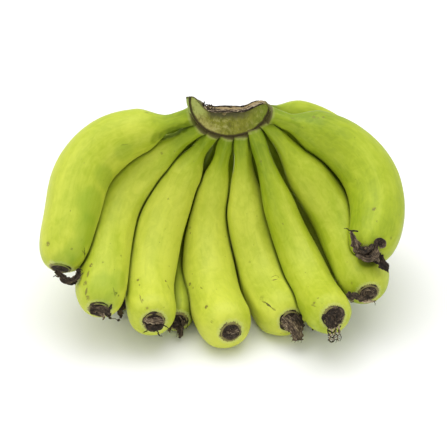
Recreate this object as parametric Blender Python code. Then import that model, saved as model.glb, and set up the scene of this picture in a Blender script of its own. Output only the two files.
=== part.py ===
"""A hand of green bananas: two rows of curved fingers grown from one crown.

Lengths below are in millimetres and become metres when the meshes are made.
X runs across the fan of fingers, -Y is the side the finger tips point to,
Z is up and the hand rests on z = 0.
"""
import bpy
import math
import numpy as np

MM = 0.001

# ---- crown -----------------------------------------------------------------
RING_X = 5.4            # centre of the crown's half ring
RING_Z = 174.2
RING_R = 35.0           # outer radius of the half ring, where the pedicels leave
CROWN_FRONT = -8.0      # y of the cut face that looks forward
CROWN_BACK = 26.0       # y of the rear face
CROWN_WRAP = 98.0       # degrees the ring reaches up at most, from straight down
CUT_SLOPE = 0.42        # fall of the knife cut towards the back
CUT_STEEP_L = 0.34      # how much steeper it falls behind the left horn
CUT_STEEP_R = 0.08      # and behind the right end
CUT_SADDLE = 164.2      # height of the cut edge at mid width
CUT_HORN_L = 15.0       # rise of the cut edge to the pointed left horn
CUT_HORN_R = 8.4        # rise of the cut edge towards the right end
CUT_ROUND_R = 6.0       # drop of the cut edge round the right end
BACK_ROW = 17.0         # how far the second row starts behind the first

# ---- fingers ---------------------------------------------------------------
PEDICEL_R = 5.8         # radius of the slim neck by the crown
SCAR_R = 8.6            # radius of the blossom scar
SKIN_GAP = 0.5          # clearance between two fingers that press together
SOFT = 1.0              # rounding of the pressed edges
SIDES = 14
FINE = 3
ROOT = 0.88             # how much slimmer a neck is right at the crown
RINGS = (0.0, 0.025, 0.06, 0.105, 0.15, 0.20, 0.255, 0.315, 0.38, 0.45, 0.52,
         0.59, 0.66, 0.725, 0.785, 0.84, 0.885, 0.92, 0.95, 0.973, 0.99, 1.0)

# name: angle on the ring, leaving angle, forward lean, length, start and end of
# the bend along the length, sideways turn and dip of the tip, girth radius,
# how early the finger fills out, length of the rounded end, row (0 or 1), how
# much it swells at the bend and narrows towards the tip, extra girth of its neck
FINGERS = {
    "finger_front_1": (-59, -73, 1, 200, 41, 143, -9, 30, 23.5, 0.16, 38, 0, 2.6, 2.5, 1.4),
    "finger_front_2": (-41, -49, -4, 219, 27, 160, -2, 13, 21.0, 0.16, 36, 0, 3.0, 0.2, 2.0),
    "finger_front_3": (-24, -32, -1, 206, -7, 219, 11, -5, 21.2, 0.16, 18, 0, 0.4, 1.5, 1.3),
    "finger_front_4": (-2, -14, 6, 210, 22, 205, 17, -9, 22.7, 0.11, 28, 0, -2.2, 0.0, 1.2),
    "finger_front_5": (16, 3, 9, 193, 22, 225, 21, -18, 21.6, 0.00, 32, 0, 1.8, 0.0, 2.4),
    "finger_front_6": (34, 20, 22, 208, 53, 213, 12, -21, 18.8, 0.03, 23, 0, -0.6, 0.0, 2.0),
    "finger_front_7": (54, 36, 6, 194, 37, 185, 10, 6, 21.7, 0.05, 28, 0, 1.5, 0.0, 1.4),
    "finger_front_8": (59, 66, -9, 192, 23, 182, -17, 14, 22.9, 0.15, 34, 0, 1.9, 1.6, 1.8),
    "finger_back_1": (-47, -46, -7, 197, 58, 179, 1, 18, 18.5, 0.05, 36, 1, 0.0, 0.0, 2.0),
    "finger_back_2": (-33, -26, -8, 227, 79, 179, -7, 3, 18.5, 0.00, 36, 1, 0.0, 0.0, 2.0),
    "finger_back_3": (-12, -23, 7, 217, 68, 178, 8, 1, 18.5, 0.00, 36, 1, 0.0, 0.0, 2.0),
    "finger_back_4": (4, 3, -8, 192, 79, 158, 4, -1, 18.0, 0.00, 36, 1, 0.0, 0.0, 2.0),
    "finger_back_5": (15, 12, -1, 217, 63, 157, 19, 5, 18.5, 0.00, 36, 1, 0.0, 0.0, 2.0),
    "finger_back_6": (28, 26, -10, 202, 43, 167, 16, 8, 18.5, 0.00, 36, 1, 0.0, 0.0, 1.5),
    "finger_back_7": (42, 45, -17, 185, 71, 162, 1, 14, 18.0, 0.05, 36, 1, 0.0, 0.0, 2.0),
    "finger_back_8": (47, 65, -33, 166, 17, 123, 38, 36, 16.5, 0.12, 34, 1, 0.0, 0.0, 0.0),
}

# name of the finger: length of its dried blossom end, width, the way it curls
# (x, y, z) and how strongly
BLOSSOMS = {
    "finger_front_1": (13, 6.0, (0.9, -0.2, -0.5), 0.9),
    "finger_front_2": (9, 6.0, (0.6, -0.3, -0.8), 0.7),
    "finger_front_3": (10, 6.5, (0.7, -0.3, -0.7), 0.8),
    "finger_front_4": (4, 7.0, (0.2, -0.6, -0.6), 0.3),
    "finger_front_5": (13, 6.5, (0.6, -0.4, -0.7), 0.6),
    "finger_front_6": (15, 6.5, (0.1, -0.3, -0.9), 0.7),
    "finger_front_7": (14, 6.5, (-0.9, -0.4, -0.1), 0.8),
    "finger_front_8": (14, 7.5, (0.3, -0.9, -0.1), 0.6),
    "finger_back_1": (7, 5.0, (-0.3, -0.6, -0.5), 0.5),
    "finger_back_2": (8, 5.0, (0.5, -0.5, -0.4), 0.5),
    "finger_back_3": (10, 6.0, (0.0, -0.8, -0.5), 0.5),
    "finger_back_4": (6, 5.0, (0.1, -0.8, 0.0), 0.3),
    "finger_back_5": (9, 5.5, (0.1, -0.8, -0.3), 0.5),
    "finger_back_6": (7, 5.0, (0.4, -0.7, -0.2), 0.4),
    "finger_back_7": (7, 5.0, (0.2, -0.6, -0.5), 0.5),
    "finger_back_8": (8, 5.5, (0.5, -0.5, -0.5), 0.5),
}

SKIN = (0.50, 0.62, 0.08, 1.0)
SKIN_BACK = (0.42, 0.55, 0.06, 1.0)
CROWN_FLESH = (0.42, 0.46, 0.14, 1.0)
DRIED = (0.10, 0.06, 0.045, 1.0)


def smooth(u):
    u = np.clip(u, 0.0, 1.0)
    return u * u * (3.0 - 2.0 * u)


def girth(s, length, full, early, end, belly, taper, stout):
    """Radius of a finger at distance s from the crown."""
    u = s / length
    fill = (0.60 * smooth((u - 0.10) / (0.30 - early))
            + 0.40 * smooth((u - 0.28 + early) / 0.50))
    body = (PEDICEL_R + (full - PEDICEL_R) * fill
            + belly * np.exp(-((u - 0.36) / 0.15) ** 2) - taper * smooth((u - 0.60) / 0.38)
            + stout * np.exp(-(u / 0.17) ** 2))
    t = np.clip((s - length + end) / end, 0.0, 1.0)
    blunt = SCAR_R + (body - SCAR_R) * (1.0 - t ** 3.0) ** 0.5
    return np.where(u < 0.5, body, blunt) + 1.6 * np.exp(-s / 6.0)


class Finger:
    """A planar centre line that turns smoothly from one direction to another."""

    def __init__(self, spec, steps=120):
        (ring, leave, lean, length, bend_a, bend_b,
         turn, dip, full, early, end, row, belly, taper, stout) = spec
        ring, leave, lean, turn, dip = np.radians([ring, leave, lean, turn, dip])
        start = np.array([RING_X + RING_R * math.sin(ring), BACK_ROW * row,
                          RING_Z - RING_R * math.cos(ring)])
        d0 = np.array([math.sin(leave) * math.cos(lean), -math.sin(lean),
                       -math.cos(leave) * math.cos(lean)])
        d1 = np.array([math.sin(turn) * math.cos(dip),
                       -math.cos(turn) * math.cos(dip), -math.sin(dip)])
        self.length = float(length)
        self.s = np.linspace(0.0, self.length, steps + 1)
        ang = math.acos(float(np.clip(d0 @ d1, -1.0, 1.0)))

        def heading(s):
            w = smooth((s - bend_a) / (bend_b - bend_a))[:, None]
            return (np.sin((1 - w) * ang) * d0 + np.sin(w * ang) * d1) / math.sin(ang)

        mid = 0.5 * (self.s[:-1] + self.s[1:])
        run = heading(mid) * (self.length / steps)
        self.p = start + np.vstack([np.zeros(3), np.cumsum(run, axis=0)])
        self.t = heading(self.s)
        side = np.cross(d0, d1)
        self.side = side / np.linalg.norm(side)
        self.form = (self.length, full, early, end, belly, taper, stout)
        self.row = row
        self.r = girth(self.s, *self.form)
        self.dr = np.gradient(self.r, self.s)

    def frame(self, s):
        p = np.stack([np.interp(s, self.s, self.p[:, k]) for k in range(3)], -1)
        t = np.stack([np.interp(s, self.s, self.t[:, k]) for k in range(3)], -1)
        t /= np.linalg.norm(t, axis=-1, keepdims=True)
        side = np.broadcast_to(self.side, t.shape)
        out = np.cross(side, t)
        return p, t, out, side

    def outside(self, q):
        """How far the points q lie outside this finger's plain round shape."""
        d2 = ((q[:, None, :] - self.p[None]) ** 2).sum(-1)
        j = d2.argmin(1)
        along = ((q - self.p[j]) * self.t[j]).sum(-1)
        r = self.r[j] + self.dr[j] * np.clip(along, -0.8, 0.8)
        return np.sqrt(d2[np.arange(len(q)), j]) - r

    def push_out(self, q, margin):
        """Move one point q away until it is `margin` outside this finger."""
        lack = margin - float(self.outside(q[None])[0])
        if lack <= 0.0:
            return q
        away = q - self.p[((self.p - q) ** 2).sum(1).argmin()]
        return q + away / max(np.linalg.norm(away), 1e-6) * lack


def press(centre, ray, reach, plain, me, everyone):
    """Shorten each ray until it stays on its own side of every neighbour.

    `plain` is the round radius used for the side test, `reach` the wanted
    distance. Two fingers of one row share the dent; between the rows the back
    finger takes all of it, so the front row keeps its full shape.
    """
    reach = reach.copy()
    for other in everyone:
        if other is me or other.row > me.row:
            continue
        share = 1.0 if other.row == me.row else 0.0
        gap = SKIN_GAP
        hit = np.nonzero(other.outside(centre + ray * reach[:, None])
                         - share * (reach - plain) < gap + 2.0)[0]
        if len(hit) == 0:
            continue
        c, d, top, base = centre[hit], ray[hit], reach[hit], plain[hit]
        lo, hi = np.zeros(len(hit)), top + 3.0
        for _ in range(16):
            t = 0.5 * (lo + hi)
            ok = other.outside(c + d * t[:, None]) - share * (t - base) >= gap
            lo, hi = np.where(ok, t, lo), np.where(ok, hi, t)
        limit = np.maximum(lo, 0.5)
        soft = -SOFT * np.log(np.exp(-(top - limit) / SOFT) + 1.0) + top
        reach[hit] = np.minimum(np.minimum(top, limit), soft)
    return np.maximum(reach, 0.5)


def down_angle(finger):
    """Angle, around the finger near its tip, that points at the floor."""
    _, _, out, side = finger.frame(np.array([0.72 * finger.length]))
    return math.atan2(-side[0, 2], -out[0, 2])


def finger_mesh(name, fingers):
    me = fingers[name]
    # the dents are found on a grid FINE times finer than the mesh, and each
    # point of the mesh takes the deepest dent around it
    coarse = np.array(RINGS) * me.length
    rings = np.interp(np.arange(FINE * (len(coarse) - 1) + 1) / FINE,
                      np.arange(len(coarse)), coarse)
    ang = down_angle(me) + (np.arange(FINE * SIDES) / FINE + 0.5) * 2.0 * math.pi / SIDES
    p, t, out, side = me.frame(rings)
    ray = (np.cos(ang)[None, :, None] * out[:, None, :]
           + np.sin(ang)[None, :, None] * side[:, None, :])
    centre = np.broadcast_to(p[:, None, :], ray.shape)
    plain = np.repeat(girth(rings, *me.form), FINE * SIDES)
    reach = press(centre.reshape(-1, 3), ray.reshape(-1, 3), plain, plain,
                  me, fingers.values())
    dent = (plain - reach).reshape(len(rings), FINE * SIDES)
    deep = dent.copy()
    for i in range(-FINE // 2 + 1, FINE // 2 + 1):
        for k in range(-FINE // 2 + 1, FINE // 2 + 1):
            near = dent[np.clip(np.arange(len(rings)) + i, 0, len(rings) - 1)]
            deep = np.maximum(deep, np.roll(near, k, axis=1))
    p, t = p[::FINE], t[::FINE]
    ray = ray[::FINE, ::FINE].reshape(-1, 3)
    centre = centre[::FINE, ::FINE].reshape(-1, 3)
    rings = coarse
    plain = np.repeat(girth(rings, *me.form), SIDES)
    reach = np.maximum(plain - deep[::FINE, ::FINE].reshape(-1), 0.5)
    v = centre + ray * reach[:, None]
    # rest on the floor
    low = v[:, 2] < 0.0
    down = np.where(low, centre[:, 2] / np.maximum(centre[:, 2] - v[:, 2], 1e-6), 1.0)
    v = centre + (v - centre) * down[:, None]
    v[low, 2] = 0.0
    v = v.reshape(len(rings), SIDES, 3)
    # the first ring follows the curved wall of the crown
    clear = RING_R + 0.55
    for k in range(SIDES):
        v[0, k] = onto_ring(p[0] + (v[0, k] - p[0]) * ROOT, t[0], clear)
        behind = max(1.2 - float((v[1, k] - v[0, k]) @ t[0]), 0.0)
        v[1, k] += t[0] * behind
    first = onto_ring(p[0].copy(), t[0], clear)
    last = p[-1] - t[-1] * 1.0
    return loft(v, first, last)


def onto_ring(q, t, radius):
    """Slide a point along the finger until it is on the crown's round wall."""
    x, z = q[0] - RING_X, q[2] - RING_Z
    a = t[0] ** 2 + t[2] ** 2
    b = 2 * (x * t[0] + z * t[2])
    c = x * x + z * z - radius ** 2
    root = (-b + math.sqrt(max(b * b - 4 * a * c, 0.0))) / (2 * a)
    return q + t * root


def loft(v, first, last):
    """Closed surface from rings of points, an end point at each end."""
    n, m = v.shape[0], v.shape[1]
    verts = [tuple(q) for q in v.reshape(-1, 3)] + [tuple(first), tuple(last)]
    faces = []
    for i in range(n - 1):
        for k in range(m):
            a, b = i * m + k, i * m + (k + 1) % m
            faces.append((a, b, b + m, a + m))
    for k in range(m):
        faces.append((n * m, (k + 1) % m, k))
        faces.append((n * m + 1, (n - 1) * m + k, (n - 1) * m + (k + 1) % m))
    return verts, faces


def blossom_mesh(name, fingers):
    """Shrivelled flower left on the scar: a short crumpled, curling tuft."""
    me = fingers[name]
    length, width, curl, strength = BLOSSOMS[name]
    seed = sum(ord(ch) for ch in name)
    p0, t0 = me.p[-1], me.t[-1]
    curl = np.array(curl) / np.linalg.norm(curl)
    rows, sides = 6, 9
    p = p0 + t0 * 0.5
    centre, heads = [p.copy()], [t0.copy()]
    head = t0.copy()
    for i in range(rows - 1):
        head = head + curl * strength * 0.35
        head /= np.linalg.norm(head)
        p = p + head * length / (rows - 1)
        for n, other in fingers.items():
            if n != name:
                p = other.push_out(p, 0.75 * width)
        centre.append(p.copy())
        heads.append(head.copy())
    ray, reach, base = [], [], []
    up = np.cross(t0, curl)
    up /= np.linalg.norm(up)
    taper = (0.72, 0.95, 0.90, 0.72, 0.50, 0.28)
    for i in range(rows):
        u = np.cross(up, heads[i])
        u /= np.linalg.norm(u)
        w = np.cross(heads[i], u)
        for k in range(sides):
            a = 2 * math.pi * k / sides
            crumple = 1.0 + 0.16 * math.sin(3 * a + seed) + 0.10 * math.sin(seed * 1.7 + 2.1 * i + 5 * a)
            flat = 1.0 - 0.30 * i / (rows - 1)
            ray.append(math.cos(a) * u * flat + math.sin(a) * w)
            reach.append(width * taper[i] * crumple)
            base.append(centre[i])
    ray, reach, base = np.array(ray), np.array(reach), np.array(base)
    size = np.linalg.norm(ray, axis=1)
    ray, reach = ray / size[:, None], reach * size
    # a ring that would touch a finger becomes slimmer as a whole
    scale = np.ones(rows)
    for n, other in fingers.items():
        for _ in range(24):
            q = base + ray * (reach * np.repeat(scale, sides))[:, None]
            bad = other.outside(q) < 0.9
            if n == name:
                bad &= (q - p0) @ t0 < 0.4
            scale *= np.where(bad.reshape(rows, sides).any(1), 0.90, 1.0)
    v = base + ray * (reach * np.repeat(scale, sides))[:, None]
    # every ring starts a little further out than the one before
    least = 0.4 + 0.35 * np.repeat(np.arange(rows), sides)
    back = (v - p0) @ t0
    v += np.maximum(least - back, 0.0)[:, None] * t0
    v[:, 2] = np.maximum(v[:, 2], 1.2)
    v = v.reshape(rows, sides, 3)
    end = v[-1].mean(0) + heads[-1] * 1.0
    end[2] = max(end[2], 1.2)
    return loft(v, p0 + t0 * 0.4, end)


def cut_height(x, y):
    """Height of the knife cut over the crown."""
    u = np.clip((x - RING_X) / RING_R, -1.0, 1.0)
    left = CUT_HORN_L * smooth((-u - 0.42) / 0.50)
    right = (CUT_HORN_R * smooth((u - 0.28) / 0.54)
             - CUT_ROUND_R * smooth((u - 0.84) / 0.16))
    slope = (CUT_SLOPE + CUT_STEEP_L * smooth((-u - 0.45) / 0.35)
             + CUT_STEEP_R * smooth((u - 0.50) / 0.30))
    return CUT_SADDLE + left + right - slope * (y - CROWN_FRONT)


def crown_mesh():
    """Crescent block with a round outer wall and a sloping saddle-shaped cut."""
    depth = ((CROWN_FRONT, 0.7), (CROWN_FRONT + 0.9, 0.1), (-1.0, 0.0),
             (7.0, 0.0), (15.0, 0.0), (21.0, 0.3), (CROWN_BACK - 1.0, 1.0), (CROWN_BACK, 2.0))
    arc, top = 34, 22
    layers = []
    for y, inset in depth:
        r = RING_R - inset
        reach = []
        for sgn in (-1, 1):
            wrap = CROWN_WRAP
            while wrap > 30.0:
                w = math.radians(wrap)
                if (RING_Z - r * math.cos(w)
                        < float(cut_height(RING_X + sgn * r * math.sin(w), y)) - 1.5):
                    break
                wrap -= 0.5
            reach.append(wrap)
        a = np.radians(np.linspace(-reach[0], reach[1], arc))
        x = RING_X + r * np.sin(a)
        z = RING_Z - r * np.cos(a)
        lower = np.stack([x, np.full(arc, y), z], -1)
        x2 = np.linspace(x[-1], x[0], top)
        z2 = cut_height(x2, y) - 0.35 * inset
        upper = np.stack([x2, np.full(top, y), z2], -1)
        layers.append(np.vstack([lower, upper]))
    v = np.array(layers)
    v = v[::-1]
    m = arc + top
    verts = [tuple(q) for q in v.reshape(-1, 3)]
    faces = []
    for i in range(len(v) - 1):
        for k in range(m):
            a, b = i * m + k, i * m + (k + 1) % m
            faces.append((a, b, b + m, a + m))
    # end faces: strips between the round wall and the cut edge
    for i, flip in ((0, False), (len(v) - 1, True)):
        base = i * m
        lower = list(range(base, base + arc))
        upper = list(range(base + m - 1, base + arc - 1, -1))
        a, b = 0, 0
        while a < arc - 1 or b < top - 1:
            if b == top - 1 or (a < arc - 1 and (a + 1) / (arc - 1) <= (b + 1) / (top - 1)):
                tri = (lower[a], upper[b], lower[a + 1])
                a += 1
            else:
                tri = (lower[a], upper[b], upper[b + 1])
                b += 1
            faces.append(tri[::-1] if flip else tri)
    return verts, faces


def material(name, colour, rough):
    m = bpy.data.materials.new(name)
    m.use_nodes = True
    node = m.node_tree.nodes["Principled BSDF"]
    node.inputs["Base Color"].default_value = colour
    node.inputs["Roughness"].default_value = rough
    return m


def main():
    for ob in list(bpy.data.objects):
        bpy.data.objects.remove(ob, do_unlink=True)
    fingers = {name: Finger(spec) for name, spec in FINGERS.items()}
    shapes = {"crown": crown_mesh()}
    for name in fingers:
        shapes[name] = finger_mesh(name, fingers)
    for name in fingers:
        shapes[name.replace("finger", "blossom")] = blossom_mesh(name, fingers)
    every = np.array([q for verts, _ in shapes.values() for q in verts])
    mid = 0.5 * (every.min(0) + every.max(0))
    shift = np.array([-mid[0], -mid[1], 0.0])
    for name, (verts, faces) in shapes.items():
        mesh = bpy.data.meshes.new(name)
        mesh.from_pydata([tuple((np.array(q) + shift) * MM) for q in verts], [], faces)
        mesh.validate()
        mesh.update()
        ob = bpy.data.objects.new(name, mesh)
        bpy.context.scene.collection.objects.link(ob)
        if name == "crown":
            look = (CROWN_FLESH, 0.7)
        elif name.startswith("finger_front"):
            look = (SKIN, 0.45)
        elif name.startswith("finger_back"):
            look = (SKIN_BACK, 0.45)
        else:
            look = (DRIED, 0.85)
        mesh.materials.append(material("mat_" + name, *look))


main()
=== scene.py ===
import math

import bpy
import numpy as np
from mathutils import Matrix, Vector


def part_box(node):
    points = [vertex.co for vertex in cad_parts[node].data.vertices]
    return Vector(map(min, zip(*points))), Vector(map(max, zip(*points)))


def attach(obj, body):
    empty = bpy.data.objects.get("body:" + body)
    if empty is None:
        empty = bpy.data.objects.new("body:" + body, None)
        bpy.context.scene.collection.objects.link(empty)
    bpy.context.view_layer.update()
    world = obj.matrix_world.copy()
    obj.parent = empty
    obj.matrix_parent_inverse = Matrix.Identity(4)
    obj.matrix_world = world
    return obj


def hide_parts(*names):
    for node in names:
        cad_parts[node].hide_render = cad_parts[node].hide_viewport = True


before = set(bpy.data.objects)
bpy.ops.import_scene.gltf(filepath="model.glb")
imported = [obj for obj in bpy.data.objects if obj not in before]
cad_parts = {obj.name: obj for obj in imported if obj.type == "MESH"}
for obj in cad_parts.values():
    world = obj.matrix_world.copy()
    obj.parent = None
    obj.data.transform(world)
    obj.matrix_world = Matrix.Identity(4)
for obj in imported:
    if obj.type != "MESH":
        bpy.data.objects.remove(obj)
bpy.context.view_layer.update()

MM = 0.001

# ---- the fixed shape, in millimetres ------------------------------------------
RING_X, RING_Z, RING_R = 5.4, 174.2, 35.0
CROWN_FRONT, CROWN_BACK, CROWN_WRAP = -8.0, 26.0, 98.0
CUT_SLOPE, CUT_STEEP_L, CUT_STEEP_R, CUT_SADDLE = 0.42, 0.34, 0.08, 164.2
CUT_HORN_L, CUT_HORN_R, CUT_ROUND_R = 15.0, 8.4, 6.0
BACK_ROW = 17.0
PEDICEL_R, SCAR_R = 5.8, 8.6
SKIN_GAP, SOFT = 0.07, 0.9

# angle on the ring, leaving angle, forward lean, length, start and end of the
# bend, sideways turn and dip of the tip, girth radius, how early it fills out,
# length of the rounded end, row, swelling at the bend, narrowing at the tip, extra
# girth of the neck
FINGERS = {
    "finger_front_1": (-59, -73, 1, 200, 41, 143, -9, 30, 23.5, 0.16, 38, 0, 2.6, 2.5, 1.4),
    "finger_front_2": (-41, -49, -4, 219, 27, 160, -2, 13, 21.0, 0.16, 36, 0, 3.0, 0.2, 2.0),
    "finger_front_3": (-24, -32, -1, 206, -7, 219, 11, -5, 21.2, 0.16, 18, 0, 0.4, 1.5, 1.3),
    "finger_front_4": (-2, -14, 6, 210, 22, 205, 17, -9, 22.7, 0.11, 28, 0, -2.2, 0.0, 1.2),
    "finger_front_5": (16, 3, 9, 193, 22, 225, 21, -18, 21.6, 0.00, 32, 0, 1.8, 0.0, 2.4),
    "finger_front_6": (34, 20, 22, 208, 53, 213, 12, -21, 18.8, 0.03, 23, 0, -0.6, 0.0, 2.0),
    "finger_front_7": (54, 36, 6, 194, 37, 185, 10, 6, 21.7, 0.05, 28, 0, 1.5, 0.0, 1.4),
    "finger_front_8": (59, 66, -9, 192, 23, 182, -17, 14, 22.9, 0.15, 34, 0, 1.9, 1.6, 1.8),
    "finger_back_1": (-47, -46, -7, 197, 58, 179, 1, 18, 18.5, 0.05, 36, 1, 0.0, 0.0, 2.0),
    "finger_back_2": (-33, -26, -8, 227, 79, 179, -7, 3, 18.5, 0.00, 36, 1, 0.0, 0.0, 2.0),
    "finger_back_3": (-12, -23, 7, 217, 68, 178, 8, 1, 18.5, 0.00, 36, 1, 0.0, 0.0, 2.0),
    "finger_back_4": (4, 3, -8, 192, 79, 158, 4, -1, 18.0, 0.00, 36, 1, 0.0, 0.0, 2.0),
    "finger_back_5": (15, 12, -1, 217, 63, 157, 19, 5, 18.5, 0.00, 36, 1, 0.0, 0.0, 2.0),
    "finger_back_6": (28, 26, -10, 202, 43, 167, 16, 8, 18.5, 0.00, 36, 1, 0.0, 0.0, 1.5),
    "finger_back_7": (42, 45, -17, 185, 71, 162, 1, 14, 18.0, 0.05, 36, 1, 0.0, 0.0, 2.0),
    "finger_back_8": (47, 65, -33, 166, 17, 123, 38, 36, 16.5, 0.12, 34, 1, 0.0, 0.0, 0.0),
}

# The ridges of a finger: degrees to the right of the line that faces the
# viewer, height in millimetres
RIDGES = {
    "finger_front_1": ((28, 1.0), (100, 1.3), (172, 1.2), (-116, 1.2), (-44, 0.5)),
    "finger_front_2": ((50, 1.1), (122, 1.2), (194, 1.2), (-94, 1.2), (-30, 0.7)),
    "finger_front_3": ((-58, 2.3), (14, 0.5), (84, 1.2), (156, 1.2), (-132, 1.2)),
    "finger_front_4": ((-62, 0.9), (14, 0.3), (82, 1.0), (154, 1.2), (-134, 1.2)),
    "finger_front_5": ((-50, 2.2), (20, 0.6), (88, 1.2), (160, 1.2), (-106, 3.0)),
    "finger_front_6": ((45, 1.2), (117, 1.2), (189, 1.2), (-99, 1.3), (-27, 0.5)),
    "finger_front_7": ((32, 2.2), (100, 1.2), (168, 1.2), (-122, 1.2), (-46, 0.8)),
    "finger_front_8": ((4, 1.5), (70, 1.3), (146, 1.2), (-144, 1.2), (-66, 1.2)),
}

CAM_DIST, CAM_ELEV, FOCAL, FRAME_PX = 1250.0, math.radians(35.0), 1500.0, 447.0

# everything above is laid out around the crown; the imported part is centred
crown_lo, crown_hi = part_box("crown")
SHIFT = np.array([(crown_lo.x + crown_hi.x) / 2 / MM - RING_X,
                  crown_lo.y / MM - CROWN_FRONT, 0.0])

VIEW = np.array([0.0, math.cos(CAM_ELEV), -math.sin(CAM_ELEV)])
RIGHT = np.array([1.0, 0.0, 0.0])
UP = np.array([0.0, math.sin(CAM_ELEV), math.cos(CAM_ELEV)])
AIM = np.array([0.0, -65.0, 90.5])
EYE = AIM - VIEW * CAM_DIST


def unit(v):
    v = np.asarray(v, float)
    return v / np.maximum(np.linalg.norm(v, axis=-1, keepdims=True), 1e-9)


def smooth(u):
    u = np.clip(u, 0.0, 1.0)
    return u * u * (3.0 - 2.0 * u)


# ---- smooth noise -------------------------------------------------------------
def lattice(i, j, k, seed):
    n = i * 374761393 + j * 668265263 + k * 1103515245 + seed * 362437
    n &= 0xFFFFFFFF
    n = ((n ^ (n >> 13)) * 1274126177) & 0xFFFFFFFF
    n = ((n ^ (n >> 16)) * 69069) & 0xFFFFFFFF
    return (n ^ (n >> 15)) / 2147483647.5 - 1.0


def noise(p, seed=0):
    """Smooth value noise in -1..1 at the points p."""
    p = np.asarray(p, float)
    base = np.floor(p).astype(np.int64)
    f = smooth(p - base)
    i, j, k = base[..., 0], base[..., 1], base[..., 2]
    out = 0.0
    for a in (0, 1):
        for b in (0, 1):
            for c in (0, 1):
                w = ((f[..., 0] if a else 1 - f[..., 0])
                     * (f[..., 1] if b else 1 - f[..., 1])
                     * (f[..., 2] if c else 1 - f[..., 2]))
                out = out + w * lattice(i + a, j + b, k + c, seed)
    return out


def fbm(p, seed=0, octaves=3):
    total, weight = 0.0, 0.0
    p = np.asarray(p, float)
    for o in range(octaves):
        total = total + noise(p * 2.0 ** o + 17.3 * o, seed + o) * 0.5 ** o
        weight += 0.5 ** o
    return total / weight


def seed_of(name):
    return sum((i + 3) * ord(ch) for i, ch in enumerate(name)) % 9973


# ---- fingers ------------------------------------------------------------------
def girth(s, length, full, early, end, belly, taper, stout):
    u = s / length
    fill = (0.60 * smooth((u - 0.10) / (0.30 - early))
            + 0.40 * smooth((u - 0.28 + early) / 0.50))
    body = (PEDICEL_R + (full - PEDICEL_R) * fill
            + belly * np.exp(-((u - 0.36) / 0.15) ** 2) - taper * smooth((u - 0.60) / 0.38)
            + stout * np.exp(-(u / 0.17) ** 2))
    t = np.clip((s - length + end) / end, 0.0, 1.0)
    blunt = SCAR_R + (body - SCAR_R) * np.sqrt(1.0 - t ** 3.0)
    return np.where(u < 0.5, body, blunt) + 1.6 * np.exp(-np.maximum(s, 0.0) / 6.0)


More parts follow.
